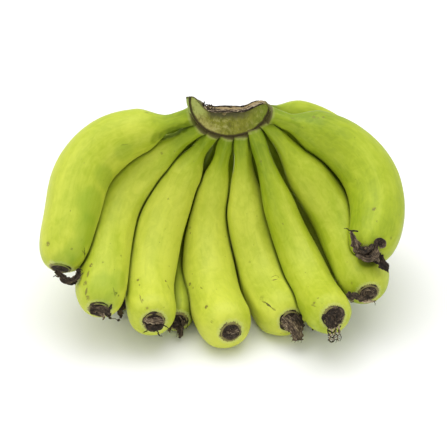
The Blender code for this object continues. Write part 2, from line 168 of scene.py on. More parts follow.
class Finger:
    """A planar centre line that turns smoothly from one direction to another."""

    def __init__(self, name, spec, steps=150):
        (ring, leave, lean, length, bend_a, bend_b,
         turn, dip, full, early, end, row, belly, taper, stout) = spec
        ring, leave, lean, turn, dip = np.radians([ring, leave, lean, turn, dip])
        start = np.array([RING_X + RING_R * math.sin(ring), BACK_ROW * row,
                          RING_Z - RING_R * math.cos(ring)])
        d0 = np.array([math.sin(leave) * math.cos(lean), -math.sin(lean),
                       -math.cos(leave) * math.cos(lean)])
        d1 = np.array([math.sin(turn) * math.cos(dip),
                       -math.cos(turn) * math.cos(dip), -math.sin(dip)])
        self.name, self.length, self.row = name, float(length), row
        self.s = np.linspace(0.0, self.length, steps + 1)
        ang = math.acos(float(np.clip(d0 @ d1, -1.0, 1.0)))

        def heading(s):
            w = smooth((s - bend_a) / (bend_b - bend_a))[:, None]
            return (np.sin((1 - w) * ang) * d0 + np.sin(w * ang) * d1) / math.sin(ang)

        mid = 0.5 * (self.s[:-1] + self.s[1:])
        run = heading(mid) * (self.length / steps)
        self.p = start + np.vstack([np.zeros(3), np.cumsum(run, axis=0)])
        self.t = heading(self.s)
        self.side = unit(np.cross(d0, d1))
        self.out = np.cross(self.side, self.t)
        self.form = (self.length, full, early, end, belly, taper, stout)
        self.full = full
        self.seed = seed_of(name)
        self.half = 0.5 * self.length / steps
        # where the viewer's side is, round the finger
        p, t, out, side = self.frame(np.array([0.74 * self.length]))
        to_eye = EYE - p[0]
        to_eye -= (to_eye @ t[0]) * t[0]
        to_eye = unit(to_eye)
        right = np.cross(to_eye, t[0])
        if right @ RIGHT < 0:
            right = -right
        if name in RIDGES:
            marks = RIDGES[name]
        else:
            turn0 = (self.seed * 37) % 72
            marks = [(turn0 + 72 * k, 1.0 + 0.4 * math.sin(self.seed + 2.1 * k)) for k in range(5)]
        self.ridges = []
        for deg, high in marks:
            a = math.radians(deg)
            d = math.cos(a) * to_eye + math.sin(a) * right
            self.ridges.append((math.atan2(d @ side[0], d @ out[0]), high))

    def frame(self, s):
        p = np.stack([np.interp(s, self.s, self.p[:, k]) for k in range(3)], -1)
        t = unit(np.stack([np.interp(s, self.s, self.t[:, k]) for k in range(3)], -1))
        beyond = np.minimum(s, 0.0) + np.maximum(s - self.length, 0.0)
        p = p + beyond[:, None] * t
        side = np.broadcast_to(self.side, t.shape)
        return p, t, np.cross(side, t), side

    def radius(self, s, theta):
        """Distance from the centre line to the skin."""
        u = s / self.length
        r = girth(s, *self.form)
        body = smooth((u - 0.13) / 0.25) * (1.0 - 0.80 * smooth((u - 0.90) / 0.10))
        body = body * r / self.full
        lift = 0.0
        for k, (phi, high) in enumerate(self.ridges):
            sway = 0.10 * np.sin(2.3 * u + 1.7 * k + self.seed)
            d = (theta - phi - sway + math.pi) % (2 * math.pi) - math.pi
            lift = lift + high * np.exp(-(np.sqrt(d * d + 0.012) - 0.11) / 0.27)
        neck = (0.34 * np.cos(5 * (theta - self.ridges[0][0]))
                * smooth((u - 0.01) / 0.03) * (1.0 - smooth((u - 0.13) / 0.14)))
        wave = 0.38 * np.sin(0.047 * s + 1.3 * np.cos(theta + self.seed) + self.seed)
        wave = wave + 0.22 * np.sin(0.113 * s + 2.2 * np.sin(theta) + 2.0 * self.seed)
        return r + body * (lift + wave) + neck

    def outside(self, q):
        d2 = ((q ** 2).sum(1)[:, None] - 2.0 * q @ self.p.T + (self.p ** 2).sum(1)[None])
        j = d2.argmin(1)
        rel = q - self.p[j]
        along = np.clip((rel * self.t[j]).sum(1), -self.half, self.half)
        off = rel - along[:, None] * self.t[j]
        theta = np.arctan2(off @ self.side, (off * self.out[j]).sum(1))
        return np.linalg.norm(off, axis=1) - self.radius(self.s[j] + along, theta)

    def near(self, q, reach):
        lo, hi = self.p.min(0) - self.full - reach, self.p.max(0) + self.full + reach
        return ((q > lo) & (q < hi)).all(1)


def press(centre, ray, reach, me, everyone):
    """Flatten the finger against its neighbours; see the note on rows below."""
    plain = reach.copy()
    reach = reach.copy()
    for other in everyone:
        # a front finger keeps its shape against the row behind it
        if other is me or other.row > me.row:
            continue
        share = 1.0 if other.row == me.row else 0.0
        tips = centre + ray * reach[:, None]
        cand = np.nonzero(other.near(tips, 5.0))[0]
        if len(cand) == 0:
            continue
        free = other.outside(tips[cand]) - share * (reach[cand] - plain[cand])
        hit = cand[free < SKIN_GAP + 2.6]
        if len(hit) == 0:
            continue
        c, d, top, base = centre[hit], ray[hit], reach[hit], plain[hit]
        lo, hi = np.zeros(len(hit)), top + 3.0
        for _ in range(14):
            t = 0.5 * (lo + hi)
            ok = other.outside(c + d * t[:, None]) - share * (t - base) >= SKIN_GAP
            lo, hi = np.where(ok, t, lo), np.where(ok, hi, t)
        limit = np.maximum(lo, 0.5)
        soft = top - SOFT * np.log1p(np.exp(-(limit - top) / SOFT))
        reach[hit] = np.minimum(np.minimum(top, limit), soft)
    return np.maximum(reach, 0.5)


def ring_positions(me, count):
    """Closer rings at the neck and at the blunt end."""
    end = me.form[3]
    n0, n2 = int(count * 0.12), int(count * 0.20)
    n1 = count - n0 - n2
    a = np.linspace(-2.5, 14.0, n0, endpoint=False)
    b = np.linspace(14.0, me.length - end, n1, endpoint=False)
    w = np.linspace(0.0, 1.0, n2)
    c = me.length - end + end * (1.0 - (1.0 - w) ** 1.8)
    return np.concatenate([a, b, c])


def finger_surface(name, fingers, sides, count):
    me = fingers[name]
    s = ring_positions(me, count)
    theta = (np.arange(sides) + 0.5) * 2.0 * math.pi / sides
    p, t, out, side = me.frame(s)
    ray = (np.cos(theta)[None, :, None] * out[:, None, :]
           + np.sin(theta)[None, :, None] * side[:, None, :]).reshape(-1, 3)
    centre = np.repeat(p, sides, axis=0)
    ss, tt = np.repeat(s, sides), np.tile(theta, len(s))
    full = me.radius(ss, tt)
    # the skin's own unevenness
    straight = np.stack([full * np.cos(tt), full * np.sin(tt), ss], -1)
    full = full + 0.16 * fbm(straight * np.array([0.16, 0.16, 0.05]), me.seed, 3)
    # the neck widens into the crown
    full = full + 1.1 * np.exp(-np.maximum(ss + 0.5, 0.0) / 3.0)
    reach = press(centre, ray, full, me, fingers.values())
    v = centre + ray * reach[:, None]
    if me.row == 0:
        # the neck comes out from behind the dark edge of the crown's face
        v[:, 1] = np.maximum(v[:, 1], CROWN_FRONT + 3.0 - 1.4 * np.maximum(ss + 0.5, 0.0))
    low = v[:, 2] < 0.0
    down = np.where(low, centre[:, 2] / np.maximum(centre[:, 2] - v[:, 2], 1e-6), 1.0)
    v = centre + (v - centre) * down[:, None]
    v[low, 2] = 0.0
    dent = np.maximum(full - reach, 0.0)
    close = np.full(len(v), 9.0)
    for other in fingers.values():
        if other is me:
            continue
        cand = np.nonzero(other.near(v, 9.0))[0]
        if len(cand):
            close[cand] = np.minimum(close[cand], other.outside(v[cand]))
    close = np.maximum(close, 0.0)
    # the lip round the scar, closed under the dried flower
    last, tl = p[-1], t[-1]
    rim = v[-sides:] - last
    rim_r = np.linalg.norm(rim, axis=1, keepdims=True)
    rim_d = rim / rim_r
    wob = 0.35 * np.sin(3 * theta + me.seed) + 0.25 * np.sin(7 * theta + 2.0 * me.seed)
    extra, extra_s, extra_r = [], [], []
    for up, inward in ((0.45, -0.10), (0.95, 0.15), (1.20, 0.65), (1.05, 1.25), (0.45, 2.0), (0.0, 3.2)):
        extra.append(last + rim_d * (rim_r - inward + 0.3 * wob[:, None]) + tl * (up + 0.25 * wob[:, None]))
        extra_s.append(np.full(sides, me.length + up))
        extra_r.append(rim_r[:, 0] - inward)
    v = np.vstack([v] + extra)
    ss = np.concatenate([ss] + extra_s)
    tt = np.concatenate([tt] + [theta] * len(extra))
    rr = np.concatenate([full] + extra_r)
    close = np.concatenate([close] + [np.full(sides, 9.0)] * len(extra))
    dent = np.concatenate([dent] + [np.zeros(sides)] * len(extra))
    n = len(s) + len(extra)
    first, tip = p[0], last - tl * 0.3
    # distance to the scar's rim, measured over the skin
    grid = v[:len(s) * sides].reshape(len(s), sides, 3)
    step = np.linalg.norm(np.diff(grid, axis=0), axis=2)
    over = np.vstack([np.cumsum(step[::-1], axis=0)[::-1], np.zeros((1, sides))])
    over = np.concatenate([over.reshape(-1)] + [np.full(sides, -0.4 * (j + 1)) for j in range(len(extra))] + [[me.length, -3.0]])
    verts = np.vstack([v, first, tip])
    i, k = np.meshgrid(np.arange(n - 1), np.arange(sides), indexing="ij")
    a, b = i * sides + k, i * sides + (k + 1) % sides
    quads = np.stack([a, b, b + sides, a + sides], -1).reshape(-1, 4).tolist()
    caps = [[n * sides, (k + 1) % sides, k] for k in range(sides)]
    caps += [[n * sides + 1, (n - 1) * sides + k, (n - 1) * sides + (k + 1) % sides] for k in range(sides)]
    rows = np.concatenate([s + 2.5, [me.length + 2.5 + 0.7 * (j + 1) for j in range(len(extra))]])
    rows = rows / (rows[-1] + 1.0)
    uv = []
    for q in range(len(quads)):
        i0, k0 = divmod(q, sides)
        u0, u1 = k0 / sides, (k0 + 1) / sides
        w0, w1 = rows[i0], rows[i0 + 1]
        uv += [(u0, w0), (u1, w0), (u1, w1), (u0, w1)]
    for k in range(sides):
        uv += [((k + 0.5) / sides, 0.0), ((k + 1) / sides, 0.0), (k / sides, 0.0)]
    for k in range(sides):
        uv += [((k + 0.5) / sides, 1.0), (k / sides, rows[-1]), ((k + 1) / sides, rows[-1])]
    one = np.array([0.0, float(me.length)])
    ss2 = np.concatenate([ss, one])
    fields = {
        "along": ss2 / me.length,
        "to_scar": over,
        "to_crown": ss2,
        "close": np.concatenate([close, [0.0, 9.0]]),
        "dent": np.concatenate([dent, [0.0, 0.0]]),
    }
    grain = np.stack([rr * np.cos(tt), rr * np.sin(tt), ss], -1)
    grain = np.vstack([grain, [0, 0, 0], [0, 0, me.length]])
    return verts, quads + caps, fields, grain, uv


def make_object(name, verts, faces, fields=None, grain=None, uv=None, smooth_shade=True):
    mesh = bpy.data.meshes.new(name)
    verts = (np.asarray(verts, float) + SHIFT) * MM
    mesh.from_pydata([tuple(q) for q in verts], [], faces)
    mesh.update()
    for key, values in (fields or {}).items():
        att = mesh.attributes.new(key, "FLOAT", "POINT")
        att.data.foreach_set("value", np.asarray(values, np.float32))
    if grain is not None:
        att = mesh.attributes.new("grain", "FLOAT_VECTOR", "POINT")
        att.data.foreach_set("vector", np.asarray(grain, np.float32).reshape(-1))
    if uv is not None:
        layer = mesh.uv_layers.new(name="OFBake")
        layer.data.foreach_set("uv", np.asarray(uv, np.float32).reshape(-1))
    mesh.polygons.foreach_set("use_smooth", [smooth_shade] * len(mesh.polygons))
    mesh.update()
    ob = bpy.data.objects.new(name, mesh)
    bpy.context.scene.collection.objects.link(ob)
    return ob


# ---- node helpers -------------------------------------------------------------
class Nodes:
    """Short forms for building a node tree."""

    def __init__(self, name):
        self.mat = bpy.data.materials.new(name)
        self.mat.use_nodes = True
        self.tree = self.mat.node_tree
        self.tree.nodes.clear()
        self.shader = self.tree.nodes.new("ShaderNodeBsdfPrincipled")
        out = self.tree.nodes.new("ShaderNodeOutputMaterial")
        self.tree.links.new(self.shader.outputs[0], out.inputs[0])

    def put(self, socket, value):
        if isinstance(value, bpy.types.NodeSocket):
            self.tree.links.new(value, socket)
        else:
            socket.default_value = value

    def attr(self, name, vector=False):
        n = self.tree.nodes.new("ShaderNodeAttribute")
        n.attribute_name = name
        return n.outputs["Vector" if vector else "Fac"]

    def math(self, op, a, b=0.0, clamp=False):
        n = self.tree.nodes.new("ShaderNodeMath")
        n.operation, n.use_clamp = op, clamp
        self.put(n.inputs[0], a)
        self.put(n.inputs[1], b)
        return n.outputs[0]

    def span(self, value, a, b, lo=0.0, hi=1.0, kind="SMOOTHSTEP"):
        n = self.tree.nodes.new("ShaderNodeMapRange")
        n.interpolation_type = kind
        self.put(n.inputs["Value"], value)
        n.inputs["From Min"].default_value, n.inputs["From Max"].default_value = a, b
        n.inputs["To Min"].default_value, n.inputs["To Max"].default_value = lo, hi
        return n.outputs[0]

    def scaled(self, vector, scale, offset=(0, 0, 0)):
        n = self.tree.nodes.new("ShaderNodeMapping")
        n.vector_type = "POINT"
        self.put(n.inputs["Vector"], vector)
        n.inputs["Scale"].default_value = scale
        n.inputs["Location"].default_value = offset
        return n.outputs[0]

    def noise(self, vector, scale, detail=3.0, rough=0.5, warp=0.0):
        n = self.tree.nodes.new("ShaderNodeTexNoise")
        self.put(n.inputs["Vector"], vector)
        n.inputs["Scale"].default_value = scale
        n.inputs["Detail"].default_value = detail
        n.inputs["Roughness"].default_value = rough
        n.inputs["Distortion"].default_value = warp
        return n.outputs["Fac"]

    def cells(self, vector, scale, feature="F1"):
        n = self.tree.nodes.new("ShaderNodeTexVoronoi")
        n.feature = feature
        self.put(n.inputs["Vector"], vector)
        n.inputs["Scale"].default_value = scale
        return n.outputs["Distance"]

    def mix(self, fac, a, b, how="MIX"):
        n = self.tree.nodes.new("ShaderNodeMix")
        n.data_type, n.blend_type = "RGBA", how
        self.put(n.inputs["Factor"], fac)
        self.put(n.inputs["A"] if False else n.inputs[6], a)
        self.put(n.inputs[7], b)
        return n.outputs[2]

    def ramp(self, fac, stops):
        n = self.tree.nodes.new("ShaderNodeValToRGB")
        self.put(n.inputs["Fac"], fac)
        e = n.color_ramp.elements
        while len(e) < len(stops):
            e.new(0.5)
        for k, (pos, col) in enumerate(stops):
            e[k].position, e[k].color = pos, (*col, 1.0)
        return n.outputs["Color"]

    def bump(self, height, strength, distance, normal=None):
        n = self.tree.nodes.new("ShaderNodeBump")
        n.inputs["Strength"].default_value = strength
        n.inputs["Distance"].default_value = distance
        self.put(n.inputs["Height"], height)
        if normal is not None:
            self.put(n.inputs["Normal"], normal)
        return n.outputs[0]

    def axis(self, vector, index):
        n = self.tree.nodes.new("ShaderNodeSeparateXYZ")
        self.put(n.inputs[0], vector)
        return n.outputs[index]

    def spot(self, vector, centre, size, inner=0.65, outer=1.25):
        """1 inside a soft oval round `centre`, in the unrolled skin's millimetres."""
        n = self.tree.nodes.new("ShaderNodeVectorMath")
        n.operation = "SUBTRACT"
        self.put(n.inputs[0], vector)
        n.inputs[1].default_value = centre
        d = self.tree.nodes.new("ShaderNodeVectorMath")
        d.operation = "MULTIPLY"
        self.put(d.inputs[0], n.outputs[0])
        d.inputs[1].default_value = tuple(1.0 / x for x in size)
        ln = self.tree.nodes.new("ShaderNodeVectorMath")
        ln.operation = "LENGTH"
        self.put(ln.inputs[0], d.outputs[0])
        return self.span(ln.outputs["Value"], outer, inner)


    def line(self, vector, a, b, width):
        """1 along the thin scratch from a to b."""
        a, b = np.asarray(a, float), np.asarray(b, float)

        def vec(op, p, q):
            n = self.tree.nodes.new("ShaderNodeVectorMath")
            n.operation = op
            self.put(n.inputs[0], p)
            self.put(n.inputs[1], q)
            return n

        rel = vec("SUBTRACT", vector, tuple(a)).outputs[0]
        dot = vec("DOT_PRODUCT", rel, tuple((b - a) / max(float((b - a) @ (b - a)), 1e-6))).outputs["Value"]
        t = self.math("ADD", dot, 0.0, True)
        part = self.tree.nodes.new("ShaderNodeVectorMath")
        part.operation = "SCALE"
        part.inputs[0].default_value = tuple(b - a)
        self.put(part.inputs["Scale"], t)
        off = vec("SUBTRACT", rel, part.outputs[0]).outputs[0]
        length = self.tree.nodes.new("ShaderNodeVectorMath")
        length.operation = "LENGTH"
        self.put(length.inputs[0], off)
        # thinner towards both ends
        body = self.span(self.math("ABSOLUTE", self.math("SUBTRACT", t, 0.5)), 0.5, 0.15, 0.35, 1.0)
        d = self.math("DIVIDE", length.outputs["Value"], body)
        return self.span(d, 1.3 * width, 0.55 * width)


def rgb(r, g, b):
    return (r, g, b, 1.0)


def skin(name, finger, marks=(), tone=0.0, back=False):
    """Green banana skin."""
    n = Nodes("skin_" + name)
    grain = n.attr("grain", True)
    along, near = n.attr("along"), n.attr("close")
    to_scar, to_crown = n.attr("to_scar"), n.attr("to_crown")
    off = (finger.seed % 89 * 3.0, finger.seed % 53 * 5.0, 0.0)
    shifted = n.scaled(grain, (1, 1, 1), off)
    # broad drift between yellow-green and leaf green
    drift = n.noise(n.scaled(shifted, (0.030, 0.030, 0.011)), 1.0, 2.0, 0.5, 0.6)
    streak = n.noise(n.scaled(shifted, (0.42, 0.42, 0.018)), 1.0, 4.0, 0.6, 0.3)
    mottle = n.noise(n.scaled(shifted, (0.15, 0.15, 0.09)), 1.0, 4.0, 0.6, 0.8)
    ripe = n.math("ADD", n.span(drift, 0.25, 0.75, 0.22, 0.62), n.span(along, 0.02, 0.24, 0.0, tone))
    ripe = n.math("ADD", ripe, n.span(along, 0.05, 0.42, -0.30, 0.0))
    ripe = n.math("ADD", ripe, n.span(mottle, 0.3, 0.7, -0.09, 0.09), True)
    col = n.ramp(ripe, ((0.0, (0.195, 0.285, 0.006)), (0.45, (0.365, 0.450, 0.018)),
                        (1.0, (0.590, 0.635, 0.070))))
    col = n.mix(n.span(streak, 0.46, 0.72, 0.0, 0.16), col, rgb(0.60, 0.64, 0.08))
    col = n.mix(n.span(streak, 0.50, 0.28, 0.0, 0.12), col, rgb(0.20, 0.27, 0.008))
    # painted shade: skin pressing on or close to a neighbour is darkened in colour, as in the crease between fingers;
    # it is also made duller below
    col = n.mix(n.span(near, 2.6, 0.1, 0.0, 0.70), col, rgb(0.110, 0.150, 0.005))
    # painted shade: the back row is darkened further where it lies within a few millimetres of another finger
    if back:
        col = n.mix(n.span(near, 9.0, 2.0, 0.0, 0.60), col, rgb(0.085, 0.110, 0.005))
    # pale rim and a tan line round the scar
    ragged = n.math("ADD", to_scar, n.span(n.noise(n.scaled(grain, (0.8, 0.8, 0.5)), 1.0, 3.0), 0.3, 0.7, -0.9, 0.9))
    col = n.mix(n.span(ragged, 4.2, 1.4, 0.0, 0.50), col, rgb(0.56, 0.60, 0.20))
    col = n.mix(n.span(ragged, 1.1, 0.3, 0.0, 0.85), col, rgb(0.15, 0.11, 0.045))
    # grey-green lip at the crown
    lip = n.math("MULTIPLY", n.span(to_crown, 5.6, 3.4), n.span(mottle, 0.3, 0.6, 0.25, 1.0))
    col = n.mix(n.math("MULTIPLY", lip, 0.55), col, rgb(0.40, 0.41, 0.14))
    col = n.mix(n.span(to_crown, 3.3, 1.6, 0.0, 0.85), col, rgb(0.105, 0.082, 0.030))
    # scattered flecks
    cell = n.cells(n.scaled(shifted, (0.17, 0.17, 0.095)), 1.0)
    gate = n.noise(n.scaled(shifted, (0.05, 0.05, 0.03)), 1.0, 1.0)
    fleck = n.math("MULTIPLY", n.span(cell, 0.105, 0.045), n.span(gate, 0.50, 0.60))
    col = n.mix(n.math("MULTIPLY", fleck, 0.62), col, rgb(0.17, 0.19, 0.03))
    pore = n.cells(n.scaled(shifted, (0.75, 0.75, 0.40)), 1.0)
    col = n.mix(n.math("MULTIPLY", n.span(pore, 0.20, 0.08), 0.16), col, rgb(0.22, 0.30, 0.03))
    # bruises, scratches and spots of this finger; the SHADE marks are painted shade
    torn = n.span(n.noise(grain, 0.9, 3.0), 0.30, 0.55)
    wander = n.tree.nodes.new("ShaderNodeTexNoise")
    n.put(wander.inputs["Vector"], grain)
    wander.inputs["Scale"].default_value = 0.45
    wander.inputs["Detail"].default_value = 2.0
    bent = n.tree.nodes.new("ShaderNodeVectorMath")
    bent.operation = "MULTIPLY_ADD"
    n.put(bent.inputs[0], wander.outputs["Color"])
    bent.inputs[1].default_value = (1.6, 1.6, 1.6)
    n.put(bent.inputs[2], n.scaled(grain, (1, 1, 1), (-0.8, -0.8, -0.8)))
    dull = None
    for kind, where, size, colour, force in marks:
        if kind == "line":
            m = n.line(bent.outputs[0], where[0], where[1], size)
        else:
            m = n.spot(bent.outputs[0], where, size)
            if 0.9 < max(size) < 4.0:
                m = n.math("MULTIPLY", m, torn)
        if colour == SHADE:
            dull = n.math("ADD", dull, m, True) if dull is not None else m
        col = n.mix(n.math("MULTIPLY", m, force), col, rgb(*colour))
    n.put(n.shader.inputs["Base Color"], col)
    rough = n.math("ADD", n.span(mottle, 0.3, 0.7, 0.40, 0.50), n.span(near, 5.0, 0.3, 0.0, 0.60))
    rough = n.math("ADD", rough, n.span(fleck, 0.0, 1.0, 0.0, 0.25))
    if dull is not None:
        rough = n.math("ADD", rough, n.math("MULTIPLY", dull, 0.5), True)
    n.put(n.shader.inputs["Roughness"], rough)
    fine = n.noise(n.scaled(grain, (1.5, 1.5, 0.35)), 1.0, 4.0, 0.65)
    dimple = n.noise(n.scaled(grain, (0.35, 0.35, 0.12)), 1.0, 3.0, 0.5)
    height = n.math("ADD", n.math("MULTIPLY", fine, 0.30), n.math("MULTIPLY", dimple, 0.9))
    height = n.math("SUBTRACT", height, n.math("MULTIPLY", fleck, 0.35))
    n.put(n.shader.inputs["Normal"], n.bump(height, 0.35, 0.0005))
    n.shader.inputs["Specular IOR Level"].default_value = 0.26
    n.shader.inputs["Subsurface Weight"].default_value = 0.12
    n.shader.inputs["Subsurface Radius"].default_value = (0.9, 1.0, 0.25)
    n.shader.inputs["Subsurface Scale"].default_value = 0.0018
    return n.mat


# ---- crown --------------------------------------------------------------------
def cut_height(x, y):
    u = np.clip((x - RING_X) / RING_R, -1.0, 1.0)
    left = CUT_HORN_L * smooth((-u - 0.42) / 0.50)
    right = (CUT_HORN_R * smooth((u - 0.28) / 0.54)
             - CUT_ROUND_R * smooth((u - 0.84) / 0.16))
    slope = (CUT_SLOPE + CUT_STEEP_L * smooth((-u - 0.45) / 0.35)
             + CUT_STEEP_R * smooth((u - 0.50) / 0.30))
    return CUT_SADDLE + left + right - slope * (y - CROWN_FRONT)


def grid_faces(rows, cols, start=0, flip=False):
    i, k = np.meshgrid(np.arange(rows - 1), np.arange(cols - 1), indexing="ij")
    a = start + i * cols + k
    q = np.stack([a, a + 1, a + cols + 1, a + cols], -1).reshape(-1, 4)
    return (q[:, ::-1] if flip else q).tolist()


def crown_surface():
    """Crescent block: round wall, flat face and sloping cut; build_crown raises the rim and tears the cut, and the
    material darkens the rim.
    """
    n_arc, n_deep, n_face = 170, 46, 34
    deep = CROWN_BACK - CROWN_FRONT
    w = np.linspace(0.0, 1.0, n_deep)
    ys = CROWN_FRONT + deep * (0.75 * w ** 1.5 + 0.25 * w)

    def wall_radius(y, a):
        d = y - CROWN_FRONT
        round_front = -0.9 * np.exp(-d / 0.55)
        swell = 0.9 * smooth(d / 3.0) * (1.0 - 0.5 * smooth((d - 8.0) / 14.0))
        left = 1.0 * smooth((-a - 0.45) / 0.9) * smooth(d / 3.5)
        round_back = -2.4 * smooth((d - deep + 4.5) / 4.5) ** 2
        return RING_R - 0.5 + round_front + swell + left + round_back

    def half_wrap(y, side):
        wrap = math.radians(CROWN_WRAP)
        r = RING_R + 0.8
        while wrap > 0.5 and (RING_Z - r * math.cos(wrap)
                              > float(cut_height(RING_X + side * r * math.sin(wrap), y)) - 1.4):
            wrap -= 0.004
        return wrap

    lower, upper = [], []
    for y in ys:
        a = np.linspace(-half_wrap(y, -1), half_wrap(y, 1), n_arc)
        r = wall_radius(y, a)
        low = np.stack([RING_X + r * np.sin(a), np.full(n_arc, y), RING_Z - r * np.cos(a)], -1)
        x = np.linspace(low[0, 0], low[-1, 0], n_arc)
        drop = 0.6 * math.exp(-(y - CROWN_FRONT) / 0.7) + 0.8 * float(smooth((y - CROWN_BACK + 3.0) / 3.0))
        up = np.stack([x, np.full(n_arc, y), cut_height(x, y) - drop], -1)
        lower.append(low)
        upper.append(up)
    lower, upper = np.array(lower), np.array(upper)
    rise = np.linspace(0.0, 1.0, n_face)
    rise = 0.5 * (rise + smooth(rise))
    front = lower[0][None] * (1 - rise)[:, None, None] + upper[0][None] * rise[:, None, None]
    back = lower[-1][None] * (1 - rise)[:, None, None] + upper[-1][None] * rise[:, None, None]
    left = lower[:, 0][None] * (1 - rise)[:, None, None] + upper[:, 0][None] * rise[:, None, None]
    right = lower[:, -1][None] * (1 - rise)[:, None, None] + upper[:, -1][None] * rise[:, None, None]

    def zone(shape, code):
        return np.full(shape[0] * shape[1], float(code))

    parts, zones, rims = [], [], []

    def add(grid, code, flip, edge=None):
        start = sum(len(q) for q, _ in parts)
        rows, cols = grid.shape[:2]
        parts.append((grid.reshape(-1, 3), grid_faces(rows, cols, start, flip)))
        zones.append(zone((rows, cols), code))
        rims.append(np.zeros(rows * cols) if edge is None else edge.reshape(-1))

    # distance inside the face from its outer arc and from the cut edge
    span = np.linalg.norm(upper[0] - lower[0], axis=1)
    from_arc = span[None] * rise[:, None]
    add(front, 1, False, from_arc)
    add(lower[::-1], 2, False)
    add(upper, 3, False)
    add(back, 4, True)
    add(left, 2, False)
    add(right, 2, True)
    verts = np.vstack([q for q, _ in parts])
    faces = [f for _, fs in parts for f in fs]
    return verts, faces, np.concatenate(zones), np.concatenate(rims)


def weld(verts, faces, *fields, step=0.02):
    """Merge equal corners; the first one found keeps its fields."""
    key = np.round(verts / step).astype(np.int64)
    _, first, inverse = np.unique(key, axis=0, return_index=True, return_inverse=True)
    inverse = inverse.reshape(-1)
    clean = []
    for f in faces:
        g = []
        for q in inverse[f]:
            if q not in g:
                g.append(int(q))
        if len(g) > 2:
            clean.append(g)
    return verts[first], clean, [x[first] for x in fields]


def vertex_normals(verts, faces):
    tri = np.array([[f[0], f[k], f[k + 1]] for f in faces for k in range(1, len(f) - 1)])
    a, b, c = verts[tri[:, 0]], verts[tri[:, 1]], verts[tri[:, 2]]
    n = np.cross(b - a, c - a)
    out = np.zeros_like(verts)
    for k in range(3):
        np.add.at(out, tri[:, k], n)
    return unit(out)


def build_crown():
    verts, faces, zone, from_arc = crown_surface()
    verts, faces, (zone, from_arc) = weld(verts, faces, zone, from_arc)
    normal = vertex_normals(verts, faces)
    vol = 0.0
    for f in faces[:: max(len(faces) // 4000, 1)]:
        vol += float(np.dot(verts[f[0]] - [RING_X, 8, 150], np.cross(verts[f[1]] - [RING_X, 8, 150], verts[f[2]] - [RING_X, 8, 150])))
    if vol < 0:
        faces = [f[::-1] for f in faces]
        normal = -normal
    x, y, z = verts.T
    front = smooth((CROWN_FRONT + 1.1 - y) / 1.0)              # 1 on the face
    over = cut_height(x, y) - z                                 # depth below the cut
    top = smooth((1.6 - over) / 1.2) * (1.0 - front)            # 1 on the torn cut
    wall = (1.0 - front) * (1.0 - top)
    ang = np.arctan2(x - RING_X, RING_Z - z)
    rad = np.hypot(x - RING_X, RING_Z - z)
    inside = RING_R - 1.4 - rad                                 # distance in from the rim
    lift = np.zeros(len(verts))
    # face: sunk between the rims, with faint bundles of fibre running upwards
    sunk = smooth(inside / 2.2) * smooth((over - 0.6) / 1.6)
    fibre = fbm(np.stack([x * 0.30 + 0.08 * z, y * 0.0, z * 0.16], -1), 11, 4)
    pits = fbm(np.stack([x * 0.35, y * 0.0, z * 0.35], -1), 12, 3)
    lift += front * (-1.15 * sunk + 0.42 * sunk * fibre + 0.35 * sunk * pits)
    rim = smooth((1.9 - inside) / 1.0)
    lift += front * rim * (0.45 + 0.45 * fbm(np.stack([ang * 9.0, rad * 0.25, x * 0], -1), 13, 3))
    # torn cut: ropes of fibre running from horn to horn, with a notch
    rope = np.abs(noise(np.stack([x * 0.07 + 3.0, (y - CROWN_FRONT) * 0.95, z * 0.0], -1), 21))
    rope2 = noise(np.stack([x * 0.22, (y - CROWN_FRONT) * 1.7, z * 0.0], -1), 22)
    tear = fbm(np.stack([x * 0.30, y * 0.35, z * 0.0], -1), 23, 4)
    lift += top * (1.5 * (0.35 - rope) + 0.5 * rope2 + 0.9 * tear)
    notch = np.exp(-((x - 0.5) / 1.8) ** 2)
    lift -= top * 3.0 * notch * np.exp(-((y - CROWN_FRONT) / 9.0) ** 2)
    # wall: swollen and lightly furrowed between the necks
    lift += wall * (0.55 * fbm(np.stack([ang * 7.0, y * 0.16, x * 0.0], -1), 31, 3)
                    + 0.22 * fbm(np.stack([ang * 22.0, y * 0.10, x * 0.0], -1), 32, 2))
    back = smooth((y - CROWN_BACK + 1.2) / 1.0)
    lift += back * 0.5 * fbm(np.stack([x * 0.3, z * 0.3, y * 0], -1), 41, 3)
    verts = verts + normal * lift[:, None]
    fields = {"front": front, "top": top, "inside": inside, "over": over, "tear": tear, "fibre": fibre}
    ob = make_object("crown_body", verts, faces, fields, grain=verts)
    return ob


